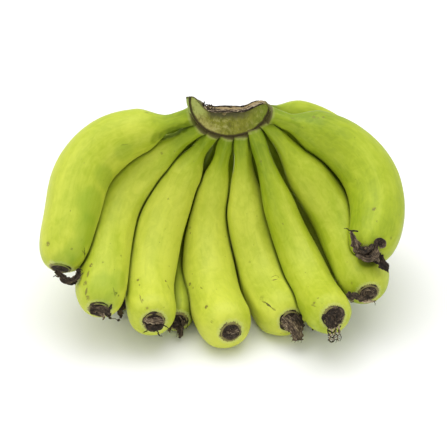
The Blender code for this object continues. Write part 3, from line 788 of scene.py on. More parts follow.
def crown_material():
    n = Nodes("crown_flesh")
    grain = n.attr("grain", True)
    front, top, inside, over = n.attr("front"), n.attr("top"), n.attr("inside"), n.attr("over")
    mottle = n.noise(n.scaled(grain, (0.16, 0.16, 0.16)), 1.0, 5.0, 0.62, 0.6)
    streak = n.noise(n.scaled(grain, (0.42, 0.2, 0.17)), 1.0, 5.0, 0.62, 1.1)
    # the crescent face: olive, pale at the left horn, beige at the lower left, green at the right end, and painted
    # shade under the torn edge
    x, z = n.axis(grain, 0), n.axis(grain, 2)
    face = n.ramp(mottle, ((0.28, (0.150, 0.160, 0.016)), (0.50, (0.225, 0.230, 0.024)), (0.74, (0.300, 0.300, 0.045))))
    face = n.mix(n.math("MULTIPLY", n.span(x, 16.0, 36.0), 0.75), face, rgb(0.205, 0.280, 0.026))
    beige = n.math("MULTIPLY", n.span(n.math("ADD", x, n.math("MULTIPLY", mottle, 14.0)), 10.0, -6.0),
                   n.span(inside, 11.0, 1.0))
    face = n.mix(n.math("MULTIPLY", beige, 0.85), face, rgb(0.470, 0.420, 0.135))
    cloud = n.noise(n.scaled(grain, (0.26, 0.26, 0.22), (31.0, 0.0, 7.0)), 1.0, 4.0, 0.6, 0.5)
    face = n.mix(n.math("MULTIPLY", n.span(cloud, 0.50, 0.66, 0.0, 0.65), n.span(x, 14.0, 0.0, 0.3, 1.0)), face, rgb(0.50, 0.47, 0.17))
    face = n.mix(n.math("MULTIPLY", n.span(cloud, 0.46, 0.34, 0.0, 0.55), n.span(x, 26.0, 10.0)), face, rgb(0.115, 0.105, 0.022))
    horn = n.math("MULTIPLY", n.span(x, -10.0, -19.0), n.span(z, 156.0, 165.0))
    face = n.mix(n.math("MULTIPLY", horn, 0.90), face, rgb(0.430, 0.480, 0.135))
    face = n.mix(n.span(streak, 0.50, 0.68, 0.0, 0.42), face, rgb(0.38, 0.37, 0.11))
    face = n.mix(n.span(streak, 0.50, 0.34, 0.0, 0.45), face, rgb(0.120, 0.122, 0.018))
    # painted shade: the top of the face, under the overhanging torn cut, is darkened
    deep = n.math("MULTIPLY", n.span(n.math("ADD", over, n.math("MULTIPLY", streak, -7.0)), 6.5, -1.0), n.math("MULTIPLY", n.span(x, -17.0, -9.0), n.span(x, 31.0, 8.0, 0.15, 1.0)))
    face = n.mix(n.math("MULTIPLY", deep, 0.92), face, rgb(0.075, 0.068, 0.036))
    # dark bark line along the arc, and a thinner one along the top of the horns
    rim = n.math("MULTIPLY", n.span(n.math("ADD", inside, n.math("MULTIPLY", mottle, 1.2)), 2.5, 1.3), 0.96)
    face = n.mix(rim, face, rgb(0.040, 0.027, 0.010))
    upper = n.math("MULTIPLY", n.span(over, 1.3, 0.5), n.span(n.math("ABSOLUTE", n.math("SUBTRACT", x, 6.0)), 14.0, 20.0))
    face = n.mix(n.math("MULTIPLY", upper, 0.9), face, rgb(0.050, 0.036, 0.014))
    wall = n.ramp(mottle, ((0.3, (0.110, 0.085, 0.025)), (0.6, (0.235, 0.215, 0.065)), (0.85, (0.35, 0.36, 0.10))))
    wall = n.mix(n.math("MULTIPLY", n.span(z, 152.0, 162.0), n.span(x, -12.0, -20.0)), wall, rgb(0.330, 0.400, 0.110))
    wall = n.mix(n.span(x, 14.0, 30.0, 0.0, 0.85), wall, rgb(0.165, 0.235, 0.018))
    torn_noise = n.noise(n.scaled(grain, (0.12, 1.3, 1.3)), 1.0, 5.0, 0.65, 0.5)
    torn = n.ramp(torn_noise, ((0.25, (0.045, 0.030, 0.020)), (0.45, (0.24, 0.17, 0.075)), (0.72, (0.52, 0.42, 0.22))))
    col = n.mix(front, wall, face)
    # only the middle of the cut is torn to straw; the horns are healed and dark green
    straw = n.math("MULTIPLY", n.span(x, -20.0, -14.0), n.span(x, 37.0, 33.0))
    healed = n.ramp(mottle, ((0.3, (0.060, 0.050, 0.018)), (0.7, (0.150, 0.160, 0.035))))
    torn = n.mix(straw, healed, torn)
    col = n.mix(top, col, torn)
    n.put(n.shader.inputs["Base Color"], col)
    n.put(n.shader.inputs["Roughness"], n.span(mottle, 0.3, 0.7, 0.62, 0.85))
    fine = n.noise(n.scaled(grain, (1.6, 0.8, 0.5)), 1.0, 5.0, 0.7)
    n.put(n.shader.inputs["Normal"], n.bump(fine, 0.55, 0.0006))
    n.shader.inputs["Specular IOR Level"].default_value = 0.18
    return n.mat


# ---- strands, straps, crusts: the dried bits --------------------------------------
class Heap:
    """Collects closed pieces into one mesh, with how pale and how far along each point is."""

    def __init__(self):
        self.verts, self.faces, self.pale, self.grain = [], [], [], []
        self.count = 0

    def add(self, verts, faces, pale, grain):
        verts = np.asarray(verts, float)
        self.faces += [[int(q) + self.count for q in f] for f in faces]
        self.verts.append(verts)
        self.pale.append(np.broadcast_to(pale, len(verts)).astype(float))
        self.grain.append(np.asarray(grain, float))
        self.count += len(verts)

    def make(self, name):
        v = np.vstack(self.verts)
        v[:, 2] = np.maximum(v[:, 2], 0.15)
        return make_object(name, v, self.faces,
                           {"pale": np.concatenate(self.pale)}, np.vstack(self.grain))


def curve_through(points, count):
    """Smooth curve through the points (cubic pieces, even steps)."""
    p = np.asarray(points, float)
    if len(p) == 2:
        return p[0] + (p[1] - p[0]) * np.linspace(0, 1, count)[:, None]
    p = np.vstack([2 * p[0] - p[1], p, 2 * p[-1] - p[-2]])
    out = []
    segs = len(p) - 3
    u = np.linspace(0.0, segs, count)
    for x in u:
        i = min(int(x), segs - 1)
        t = x - i
        a, b, c, d = p[i], p[i + 1], p[i + 2], p[i + 3]
        out.append(0.5 * ((2 * b) + (-a + c) * t + (2 * a - 5 * b + 4 * c - d) * t * t
                          + (-a + 3 * b - 3 * c + d) * t ** 3))
    return np.array(out)


def sweep_frame(path, normal):
    tang = unit(np.gradient(path, axis=0))
    n = unit(normal - (normal @ tang[0]) * tang[0])
    ns = [n]
    for k in range(1, len(path)):
        n = ns[-1] - (ns[-1] @ tang[k]) * tang[k]
        ns.append(unit(n))
    ns = np.array(ns)
    return tang, ns, np.cross(tang, ns)


def thread(heap, points, radius, seed, count=26, sides=6, pale=0.0, taper=0.75, knots=0.25):
    path = curve_through(points, count)
    tang, nn, bb = sweep_frame(path, np.array([0.3, 0.2, 0.93]))
    u = np.linspace(0, 1, count)
    path = path + 0.5 * radius * (noise(np.stack([u * 9, u * 0 + seed, u * 0], -1), seed)[:, None] * nn
                            + noise(np.stack([u * 9, u * 0 + seed, u * 0 + 4], -1), seed)[:, None] * bb)
    r = radius * (1 - taper * u ** 1.5) * (1 + knots * noise(np.stack([u * 14, u * 0, u * 0], -1), seed + 5))
    a = np.arange(sides) * 2 * math.pi / sides
    ring = path[:, None] + r[:, None, None] * (np.cos(a)[None, :, None] * nn[:, None] + np.sin(a)[None, :, None] * bb[:, None])
    verts = np.vstack([ring.reshape(-1, 3), path[0] - tang[0] * r[0] * 0.5, path[-1] + tang[-1] * r[-1] * 0.8])
    faces = []
    for i in range(count - 1):
        for k in range(sides):
            q, w = i * sides + k, i * sides + (k + 1) % sides
            faces.append([q, w, w + sides, q + sides])
    for k in range(sides):
        faces.append([count * sides, (k + 1) % sides, k])
        faces.append([count * sides + 1, (count - 1) * sides + k, (count - 1) * sides + (k + 1) % sides])
    length = np.concatenate([[0], np.cumsum(np.linalg.norm(np.diff(path, axis=0), axis=1))])
    grain = np.concatenate([np.stack([np.tile(np.cos(a) * radius, count), np.tile(np.sin(a) * radius, count),
                                      np.repeat(length, sides)], -1), [[0, 0, 0], [0, 0, length[-1]]]])
    grain = grain + np.array([seed % 97, seed % 61, 0.0])
    heap.add(verts, faces, pale, grain)


def strap(heap, points, widths, thick, seed, normal, cup=0.0, fold=0.5, pale=0.0, edge=0.2,
          count=34, across=11, ragged=0.35):
    """A flat strip with thickness: cupped across, creased along, ragged at its edges."""
    path = curve_through(points, count)
    tang, nn, bb = sweep_frame(path, unit(normal))
    u = np.linspace(0, 1, count)
    width = np.interp(u, np.linspace(0, 1, len(widths)), widths)
    x = np.linspace(-1, 1, across)
    rag_l = 1 + ragged * noise(np.stack([u * 11, u * 0, u * 0 + 1], -1), seed)
    rag_r = 1 + ragged * noise(np.stack([u * 11, u * 0, u * 0 + 5], -1), seed + 3)
    side = np.where(x[None] < 0, x[None] * rag_l[:, None], x[None] * rag_r[:, None]) * width[:, None] * 0.5
    uu, xx = np.meshgrid(u, x, indexing="ij")
    crease = noise(np.stack([xx * 2.6 + 9, uu * 3.0, uu * 0 + seed * 0.37], -1), seed + 7)
    crease = crease + 0.5 * noise(np.stack([xx * 6.0, uu * 5.0, uu * 0], -1), seed + 9)
    high = cup * (xx ** 2 - 0.4) * width[:, None] * 0.5 + fold * crease
    half = 0.5 * thick * (1 - 0.55 * np.abs(xx) ** 3) * (1 - 0.5 * uu ** 4)
    mid = path[:, None] + bb[:, None] * side[..., None] + nn[:, None] * high[..., None]
    topv = mid + nn[:, None] * half[..., None]
    botv = mid - nn[:, None] * half[..., None]
    n = count * across
    verts = np.vstack([topv.reshape(-1, 3), botv.reshape(-1, 3)])
    faces = grid_faces(count, across, 0, False) + grid_faces(count, across, n, True)
    loop = ([k for k in range(across)] + [i * across + across - 1 for i in range(1, count)]
            + [(count - 1) * across + k for k in range(across - 2, -1, -1)]
            + [i * across for i in range(count - 2, 0, -1)])
    for a, b in zip(loop, loop[1:] + loop[:1]):
        faces.append([b, a, a + n, b + n])
    length = np.concatenate([[0], np.cumsum(np.linalg.norm(np.diff(path, axis=0), axis=1))])
    g = np.stack([side, xx * 0, np.broadcast_to(length[:, None], side.shape)], -1).reshape(-1, 3)
    g = g + np.array([seed % 83, seed % 47, 0.0])
    p = (pale + edge * np.abs(xx) ** 4 + 0.25 * np.maximum(crease, 0)).reshape(-1)
    heap.add(verts, faces, np.concatenate([p, p]), np.vstack([g, g + [0, 3.0, 0]]))


def lump(heap, centre, axes, seed, rough=0.3, pale=0.0, rows=22, cols=30, ridged=0.5):
    """A crumpled knob: an oval of three half axes with folds."""
    a = np.linspace(0, math.pi, rows)[1:-1]
    b = np.arange(cols) * 2 * math.pi / cols
    aa, bb = np.meshgrid(a, b, indexing="ij")
    d = np.stack([np.sin(aa) * np.cos(bb), np.sin(aa) * np.sin(bb), np.cos(aa)], -1).reshape(-1, 3)
    d = np.vstack([d, [0, 0, 1], [0, 0, -1]])
    f = fbm(d * 1.9 + seed * 0.71, seed, 3)
    r = 1 + rough * f - ridged * rough * 1.6 * (0.5 - np.abs(noise(d * 3.3 + seed * 0.3, seed + 4)))
    v = centre + (d * r[:, None]) @ np.asarray(axes, float)
    m = rows - 2
    faces = []
    for i in range(m - 1):
        for k in range(cols):
            q, w = i * cols + k, i * cols + (k + 1) % cols
            faces.append([q, q + cols, w + cols, w])
    for k in range(cols):
        faces.append([m * cols, k, (k + 1) % cols])
        faces.append([m * cols + 1, (m - 1) * cols + (k + 1) % cols, (m - 1) * cols + k])
    size = np.linalg.norm(np.asarray(axes, float), axis=1).mean()
    heap.add(v, faces, np.clip(pale + 0.5 * (r - 1), 0, 1), d * size + [seed % 71, seed % 43, 0])


def crust(heap, finger, seed, radius=9.2, high=1.6, dish=0.0, rings=16, sides=48, pale=0.0, fold=0.7):
    """The scar itself: an uneven plate of dried skin, folded round its middle."""
    p, t, out, side = finger.frame(np.array([finger.length]))
    p, t, out, side = p[0], t[0], out[0], side[0]
    a = np.arange(sides) * 2 * math.pi / sides
    rr = np.linspace(0.0, 1.0, rings)[1:]
    verts, pales, grain = [], [], []
    base_d = np.cos(a)[:, None] * out + np.sin(a)[:, None] * side
    edge = radius * (1 + 0.07 * np.sin(2 * a + seed) + 0.06 * np.sin(5 * a + 2 * seed)
                     + 0.05 * noise(np.stack([np.cos(a) * 4, np.sin(a) * 4, a * 0], -1), seed))
    for r in rr:
        q = np.stack([np.cos(a) * r * 2.4, np.sin(a) * r * 2.4, a * 0 + seed * 0.13], -1)
        swirl = np.abs(noise(q * 1.1, seed + 2)) * 1.5 - 0.4
        detail = fbm(q * 2.3, seed + 6, 3)
        dome = high * (1 - r ** 2.4) - dish * (1 - r ** 2) + fold * (swirl + 0.6 * detail) * (1 - r ** 5) + 0.55
        dome = np.where(r > 0.96, 0.35, dome)
        verts.append(p + base_d * (edge * r)[:, None] + t * dome[:, None])
        pales.append(np.clip(pale + 0.35 * swirl + 0.15 * detail, 0, 1))
        grain.append(np.stack([np.cos(a) * r * radius, np.sin(a) * r * radius, a * 0], -1))
    for depth in (0.3, -0.9):
        verts.append(p + base_d * (edge * (0.985 if depth > 0 else 0.80))[:, None] + t * depth)
        pales.append(np.zeros(sides))
        grain.append(np.stack([np.cos(a) * radius, np.sin(a) * radius, a * 0 - 2], -1))
    v = np.vstack(verts + [p + t * (0.55 + high - dish), p - t * 1.0])
    m = len(verts)
    faces = []
    for i in range(m - 1):
        for k in range(sides):
            q, w = i * sides + k, i * sides + (k + 1) % sides
            faces.append([q, q + sides, w + sides, w])
    for k in range(sides):
        faces.append([m * sides, k, (k + 1) % sides])
        faces.append([m * sides + 1, (m - 1) * sides + (k + 1) % sides, (m - 1) * sides + k])
    heap.add(v, faces, np.concatenate(pales + [[0.1, 0.0]]),
             np.vstack(grain + [np.zeros((2, 3))]) + [seed % 59, seed % 31, 0])


PIXEL = 1180.0 / FOCAL          # millimetres to one picture step at the tips


class Spot:
    """Places in the picture, counted from a finger's scar, as points beside that scar."""

    def __init__(self, finger, x, y):
        self.p = finger.p[-1]
        self.t = finger.t[-1]
        self.x, self.y = x, y

    def __call__(self, x, y, lift=0.0):
        return (self.p + RIGHT * (x - self.x) * PIXEL - UP * (y - self.y) * PIXEL
                - VIEW * lift)


def dried_material():
    n = Nodes("dried_blossom")
    grain, pale = n.attr("grain", True), n.attr("pale")
    streak = n.noise(n.scaled(grain, (2.2, 2.2, 0.30)), 1.0, 4.0, 0.65, 0.5)
    patch = n.noise(n.scaled(grain, (0.45, 0.45, 0.35)), 1.0, 4.0, 0.6, 0.4)
    value = n.math("ADD", n.span(streak, 0.30, 0.70, 0.10, 0.44), n.span(patch, 0.30, 0.70, 0.12, 0.33))
    value = n.math("ADD", value, n.math("MULTIPLY", pale, 0.55))
    col = n.ramp(value, ((0.36, (0.008, 0.006, 0.004)), (0.54, (0.026, 0.018, 0.011)), (0.70, (0.075, 0.052, 0.033)),
                         (0.86, (0.22, 0.165, 0.100)), (1.0, (0.50, 0.41, 0.26))))
    n.put(n.shader.inputs["Base Color"], col)
    n.put(n.shader.inputs["Roughness"], n.span(patch, 0.3, 0.7, 0.70, 0.92))
    fine = n.noise(n.scaled(grain, (3.0, 3.0, 0.7)), 1.0, 5.0, 0.7)
    n.put(n.shader.inputs["Normal"], n.bump(fine, 0.7, 0.0005))
    n.shader.inputs["Specular IOR Level"].default_value = 0.25
    return n.mat


# ---- marks on the skin ----------------------------------------------------------
SHADE = (0.10, 0.15, 0.006)
# the leaf green below is a greener patch of skin on finger 2 and at finger 1's tip, and painted shade on finger 1's
# inner side
BROWN, OLIVE, DARK, PALE, LEAF_AND_SHADE = ((0.16, 0.12, 0.03), (0.20, 0.22, 0.02), (0.045, 0.035, 0.010),
                                  (0.60, 0.62, 0.24), (0.20, 0.33, 0.012))
# finger: places in the picture; a pair is a spot, four numbers are a scratch
MARKS = {
    "finger_front_1": (((84.0, 246, 84.8, 259), 0.55, DARK, 0.85), ((82.0, 250, 84.0, 254), 0.4, BROWN, 0.7),
                       ((48.0, 244), 1.2, BROWN, 0.6), ((72, 249), 0.7, BROWN, 0.6), ((145, 112.5, 149, 113.0), 0.5, OLIVE, 0.7),
                       ((64, 262), 10.0, LEAF_AND_SHADE, 0.40), ((76, 250), 10.0, LEAF_AND_SHADE, 0.38), ((120, 145, 128, 144), 0.4, OLIVE, 0.5),
                       # painted shade: the big leaf-green spots on finger 1's inner side, towards finger 2
                       ((52.0, 262), 1.4, PALE, 0.5), ((93, 205), 15.0, LEAF_AND_SHADE, 0.42), ((88, 230), 13.0, LEAF_AND_SHADE, 0.42),
                       ((106, 178), 14.0, LEAF_AND_SHADE, 0.40), ((124, 153), 10.0, LEAF_AND_SHADE, 0.28),
                       # painted shade along the underside of finger 1's neck
                       ((156, 138), 5.5, SHADE, 0.35), ((165, 134), 6.0, SHADE, 0.50), ((174, 131), 6.0, SHADE, 0.55),
                       ((183, 127), 5.5, SHADE, 0.55), ((190, 124), 4.5, SHADE, 0.50)),
    "finger_front_2": (((91, 265), 1.1, BROWN, 0.75), ((89, 271, 87, 277), 0.8, BROWN, 0.6), ((85, 283), 1.2, BROWN, 0.7),
                       ((87, 288, 86, 295), 0.9, BROWN, 0.7), ((88, 298), 1.3, BROWN, 0.6), ((116, 293), 0.8, DARK, 0.8),
                       ((118.5, 295.5), 0.6, DARK, 0.8), ((121, 256), 0.7, OLIVE, 0.6), ((113, 288, 115, 297), 0.6, BROWN, 0.6),
                       ((120, 280), 9.0, LEAF_AND_SHADE, 0.30), ((103, 288), 13.0, LEAF_AND_SHADE, 0.38), ((112, 302), 9.0, LEAF_AND_SHADE, 0.30), ((162, 153), 0.8, OLIVE, 0.6),
                       ((96, 306), 1.5, BROWN, 0.6), ((103, 262), 0.6, OLIVE, 0.5),
                       # painted shade along the top of finger 2's neck, under finger 1
                       ((164, 137.5), 4.0, SHADE, 0.70), ((171, 135), 4.0, SHADE, 0.75), ((178, 132), 4.0, SHADE, 0.75),
                       ((185, 129), 3.6, SHADE, 0.70)),
    "finger_front_3": (((166, 281), 0.8, BROWN, 0.8), ((168, 284, 171, 289), 0.4, OLIVE, 0.6), ((138, 280), 0.8, BROWN, 0.7),
                       ((139, 285), 0.6, OLIVE, 0.6), ((140, 295, 142, 303), 0.5, BROWN, 0.6), ((143, 300), 0.7, BROWN, 0.6),
                       ((168, 199), 0.6, OLIVE, 0.5), ((147, 308), 0.8, BROWN, 0.5), ((169, 266), 0.5, OLIVE, 0.5)),
    "finger_front_4": (((190, 228), 0.8, OLIVE, 0.6), ((190.5, 233), 0.6, BROWN, 0.6), ((190, 284), 1.0, BROWN, 0.85),
                       ((193, 288), 0.6, OLIVE, 0.6), ((206, 307), 1.1, BROWN, 0.85), ((220, 336), 1.0, BROWN, 0.85),
                       ((200, 287, 203, 289), 0.4, OLIVE, 0.6), ((212, 322), 0.7, OLIVE, 0.6)),
    "finger_front_5": (((264.3, 302, 273.0, 308.6), 0.62, DARK, 0.95), ((272.5, 308.4, 276, 310.6), 0.5, OLIVE, 0.6),
                       ((262, 301, 266, 303), 0.7, OLIVE, 0.6), ((272, 280.4, 277, 279.4), 0.5, BROWN, 0.8),
                       ((271.6, 277.5, 274, 275.6), 0.35, OLIVE, 0.7), ((274, 275.6, 277.6, 275.8), 0.35, OLIVE, 0.7),
                       ((277.6, 275.8, 278.8, 278), 0.35, OLIVE, 0.6), ((262, 298), 1.6, OLIVE, 0.35), ((250, 262), 0.6, OLIVE, 0.5)),
    "finger_front_6": (((258.5, 165), 0.7, OLIVE, 0.8), ((261, 161), 0.6, OLIVE, 0.7), ((314, 303), 0.9, BROWN, 0.6),
                       ((311, 305, 316, 306.5), 0.5, BROWN, 0.5), ((283, 224), 0.6, OLIVE, 0.5), ((318, 298), 0.6, OLIVE, 0.6)),
    "finger_front_7": (((338, 281), 0.9, BROWN, 0.7), ((341, 286), 0.6, BROWN, 0.6), ((352, 283), 0.7, OLIVE, 0.5),
                       ((329, 202), 0.5, OLIVE, 0.5), ((347, 262), 0.5, OLIVE, 0.5)),
    "finger_front_8": (((314, 117), 1.0, OLIVE, 0.85), ((323, 117), 0.8, OLIVE, 0.85), ((318, 118.5), 0.6, OLIVE, 0.7),
                       ((291, 118, 295, 118.6), 0.5, OLIVE, 0.7), ((374, 209), 1.1, BROWN, 0.75), ((374, 209), 2.4, OLIVE, 0.35),
                       ((386, 126), 0.7, OLIVE, 0.6), ((377, 221), 0.6, OLIVE, 0.6), ((391, 238), 0.8, OLIVE, 0.5),
                       ((365, 241), 0.6, OLIVE, 0.5)),
}


def on_skin(verts, grain, x, y):
    """The skin's own coordinate at a place in the picture."""
    rel = verts - EYE
    depth = rel @ VIEW
    px = 223.5 + FOCAL * (rel @ RIGHT) / depth
    py = 223.5 - FOCAL * (rel @ UP) / depth
    d = np.hypot(px - x, py - y)
    near = np.nonzero(d < max(3.2, d.min() + 0.5))[0]
    near = near[depth[near] < depth[near].min() + 5.0]
    w = 1.0 / (d[near] + 0.15) ** 4
    return tuple(float(q) for q in (grain[near] * w[:, None]).sum(0) / w.sum())


def marks_of(name, verts, grain):
    out = []
    for place, size, colour, force in MARKS.get(name, ()):
        if len(place) == 4:
            ends = (on_skin(verts, grain, *place[:2]), on_skin(verts, grain, *place[2:]))
            out.append(("line", ends, 1.5 * size, colour, min(0.96, 1.15 * force)))
        else:
            grow = 1.6 if size < 2.0 else 1.0
            force = min(0.95, 1.2 * force) if size < 2.0 else force
            out.append(("spot", on_skin(verts, grain, *place), (size * grow, size * grow, size * grow * 1.15),
                        colour, force))
    return out


# ---- build --------------------------------------------------------------------
fingers = {name: Finger(name, spec) for name, spec in FINGERS.items()}


def finish_piece(ob, node, mat):
    ob.data.materials.clear()
    ob.data.materials.append(mat)
    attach(ob, "root")
    if node:
        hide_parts(node)


TONES = {"finger_front_1": 0.32, "finger_front_2": 0.40, "finger_front_3": 0.44,
         "finger_front_4": 0.48, "finger_front_5": 0.50, "finger_front_6": 0.12,
         "finger_front_7": 0.14, "finger_front_8": -0.02}

for name, finger in fingers.items():
    front = finger.row == 0
    sides, count = (112, 200) if front else (72, 120)
    verts, faces, fields, grain, uv = finger_surface(name, fingers, sides, count)
    ob = make_object(name.replace("finger", "banana"), verts, faces, fields, grain, uv)
    mat = skin(name, finger, marks_of(name, verts, grain), TONES.get(name, 0.0), not front)
    finish_piece(ob, name, mat)

crown = build_crown()
finish_piece(crown, "crown", crown_material())

dried = dried_material()


def blossom(name, build):
    heap = Heap()
    build(heap)
    ob = heap.make("dried_" + name)
    finish_piece(ob, name, dried)


TOWARD = -VIEW


def f1(h):
    f = fingers["finger_front_1"]
    s = Spot(f, 61, 272.5)
    crust(h, f, 101, radius=8.6, high=1.2, pale=0.15)
    strap(h, [s(56, 276, 2), s(62, 280, 3), s(66, 284.5, 4), s(72, 286, 5), s(78, 283, 5), s(81, 278, 4), s(79.5, 273.5, 3)],
          [3.5, 4.5, 6.0, 6.5, 6.0, 5.0, 3.0], 0.9, 111, TOWARD + 0.6 * UP, cup=0.5, fold=0.6, pale=0.15)
    strap(h, [s(64, 281, 1), s(68, 286, 2), s(74, 288, 2), s(79, 286, 2)], [3, 5, 5, 2], 0.7, 112,
          TOWARD - 0.5 * UP, cup=-0.3, fold=0.7, pale=0.0)
    thread(h, [s(62, 280, 3), s(59, 281.5, 4), s(57, 280.5, 5), s(55, 281, 5), s(54, 282, 5)], 0.7, 113, pale=0.1)
    thread(h, [s(80, 276, 4), s(82.5, 274, 4), s(84.5, 275.5, 4)], 0.6, 114)
    thread(h, [s(78, 285, 4), s(82, 281, 4), s(86, 277, 3)], 0.45, 115, pale=0.5)
    lump(h, s(80, 276, 3), np.diag([1.8, 1.6, 2.2]), 116, 0.5)


def f2(h):
    f = fingers["finger_front_2"]
    s = Spot(f, 105, 311)
    crust(h, f, 201, radius=9.0, high=1.5, pale=0.1)
    strap(h, [s(97, 311, 3), s(103, 309, 4.5), s(109, 311, 5), s(114, 315, 4), s(117, 318, 3)], [5, 8, 8, 6, 3], 0.9, 211,
          TOWARD, cup=-0.2, fold=0.9, pale=0.15)
    strap(h, [s(110, 310, 4), s(112, 304, 4.5), s(112.8, 297, 4)], [5, 3, 0.8], 0.8, 212, TOWARD, fold=0.4)
    strap(h, [s(114, 313, 4), s(117, 309, 5), s(118.5, 305.5, 5)], [3.5, 2.5, 0.8], 0.7, 213, TOWARD, fold=0.4)
    strap(h, [s(108, 315, 4), s(110, 319, 4), s(109, 322, 4)], [4, 2.5, 0.8], 0.6, 214, TOWARD, fold=0.4, pale=0.5)
    thread(h, [s(112, 317, 4), s(117, 320, 4), s(121, 320.5, 4), s(126, 322.5, 3)], 0.5, 215)
    lump(h, s(99, 313.5, 2.5), np.diag([2.6, 2.0, 2.4]), 216, 0.5)
    lump(h, s(116.5, 320, 3), np.diag([1.2, 1.0, 0.9]), 217, 0.5)
    lump(h, s(125.5, 322.2, 3), np.diag([1.3, 1.0, 0.8]), 218, 0.5)


def f3(h):
    f = fingers["finger_front_3"]
    s = Spot(f, 154, 320)
    crust(h, f, 301, radius=9.4, high=1.2, pale=0.0)
    strap(h, [s(144, 317, 3.5), s(150, 319, 5), s(157, 318.5, 5.5), s(164, 320, 4.5)], [3, 5.5, 6.5, 3], 0.8, 311,
          TOWARD + 0.5 * UP, cup=-0.3, fold=0.7, pale=0.35)
    strap(h, [s(146, 324, 3), s(152, 326, 4), s(159, 325, 4), s(163, 321, 4)], [3, 6, 5, 3], 0.8, 312, TOWARD, fold=0.8)
    thread(h, [s(157, 327, 3.5), s(158.5, 331, 4), s(160, 334.5, 4), s(163, 335.5, 4)], 0.8, 313)
    thread(h, [s(147.5, 329, 3), s(145, 330.5, 3.5), s(142.5, 331.5, 4)], 0.6, 314)
    thread(h, [s(162, 322, 4), s(166.5, 324.5, 5), s(171, 327.5, 5), s(174, 330, 5)], 0.55, 315)


def f4(h):
    f = fingers["finger_front_4"]
    s = Spot(f, 230, 331.5)
    crust(h, f, 401, radius=8.4, high=1.9, pale=0.15, fold=1.0)
    strap(h, [s(233, 329, 3), s(228, 326, 3.5), s(223, 325, 3), s(219, 323.7, 2)], [5, 4, 3, 1.2], 1.0, 411, TOWARD, fold=0.5)
    lump(h, s(231, 333, 2), np.diag([4.6, 2.0, 3.6]), 412, 0.5, pale=0.2)
    lump(h, s(225, 334, 2), np.diag([2.6, 1.6, 2.6]), 413, 0.5, pale=0.1)
    strap(h, [s(226, 330, 3), s(232, 331.5, 4), s(238, 330, 3)], [3, 5, 2.5], 0.8, 414, TOWARD + UP, fold=0.6, pale=0.3)


def f5(h):
    f = fingers["finger_front_5"]
    s = Spot(f, 292, 319)
    crust(h, f, 501, radius=9.6, high=1.0, pale=0.05)
    strap(h, [s(284, 315, 4), s(291, 320, 6), s(297, 328, 7), s(300, 334, 6), s(300, 340, 5)], [7, 11, 12, 11, 8], 1.0, 511,
          TOWARD + 0.3 * UP, cup=-0.25, fold=0.9, pale=0.28, across=19, count=46)
    strap(h, [s(296, 313, 4), s(300, 318, 5), s(303, 324, 5), s(304, 330, 5)], [4, 6, 6, 3], 0.8, 512, TOWARD + 0.4 * RIGHT, fold=0.7)
    strap(h, [s(284, 320, 4), s(288, 325, 5), s(291, 331, 5)], [3, 4, 1.5], 0.8, 513, TOWARD - 0.4 * RIGHT, fold=0.5, pale=0.5)
    for k in range(4):
        thread(h, [s(294 + 3 * k, 334, 6), s(294.5 + 3 * k, 338, 6), s(293 + 3.4 * k, 341.5 + (k % 2), 6)], 0.45, 514 + k, pale=0.35)


def f6(h):
    f = fingers["finger_front_6"]
    s = Spot(f, 333, 314)
    crust(h, f, 601, radius=9.2, high=2.0, pale=0.05, fold=0.9)
    lump(h, s(334, 313, 3), np.diag([5.2, 2.4, 3.6]), 602, 0.55, pale=0.12)
    strap(h, [s(330, 314, 4), s(331, 320, 6), s(332, 326, 7)], [8, 8, 7], 1.2, 611, TOWARD, fold=1.0, count=30, across=15)
    # frayed lattice of fibre under the scar
    for k in range(7):
        x0 = 327.5 + 1.9 * k
        thread(h, [s(x0 + 0.6, 323, 6), s(x0 + (1.6 if k % 2 else -1.2), 329, 7.5), s(x0 + (-0.8 if k % 2 else 1.4), 334, 7.5),
                   s(x0 - 1.0 + 0.2 * k, 338.5 + (k * 5 % 3), 6.5)], 0.55, 620 + k, pale=(0.75 if k % 2 else 0.0))
    for k in range(6):
        y0 = 325 + 2.4 * k
        thread(h, [s(327, y0, 6.5), s(331, y0 + 2.6, 8), s(335, y0 - 0.4, 8), s(339, y0 + 1.8, 6.5)], 0.6, 630 + k,
               pale=(0.0 if k % 2 else 0.7))


def f7(h):
    f = fingers["finger_front_7"]
    s = Spot(f, 367, 293)
    crust(h, f, 701, radius=8.8, high=1.4, pale=0.1, fold=0.9)
    for k in range(4):
        d = 1.6 * k
        strap(h, [s(360 + d, 296 - 0.4 * d, 3), s(361.5 + d, 290 + 0.2 * d, 4 + 0.3 * k), s(367 + 0.5 * d, 288 + d, 4.5),
                  s(373 - 0.4 * d, 291 + 0.8 * d, 3.5)], [2.0, 2.6, 2.6, 1.5], 0.9, 711 + k, TOWARD, fold=0.3, pale=0.1 + 0.1 * (k % 2))
    strap(h, [s(366, 299, 4), s(359, 298.5, 5), s(353, 296.5, 6), s(348, 296, 6), s(344.5, 292.5, 6)], [5, 6, 6.5, 7, 4], 0.9, 721,
          TOWARD + 0.5 * UP, cup=-0.3, fold=0.8, pale=0.1)
    strap(h, [s(358, 301, 5), s(364, 302.5, 5), s(370, 302, 4), s(375, 301.5, 4)], [3.0, 3.4, 3.0, 1.0], 0.7, 722,
          TOWARD + UP, fold=0.4, pale=0.6)
    thread(h, [s(371, 302, 4), s(373, 303, 4.5), s(374, 306, 4.5)], 0.5, 723)
    for k in range(4):
        thread(h, [s(351, 299 + k, 6), s(348, 300 + 0.9 * k, 6.5), s(345.5 + 0.5 * k, 298 + 1.5 * k, 6)], 0.45, 724 + k, pale=0.8 - 0.5 * (k % 2))


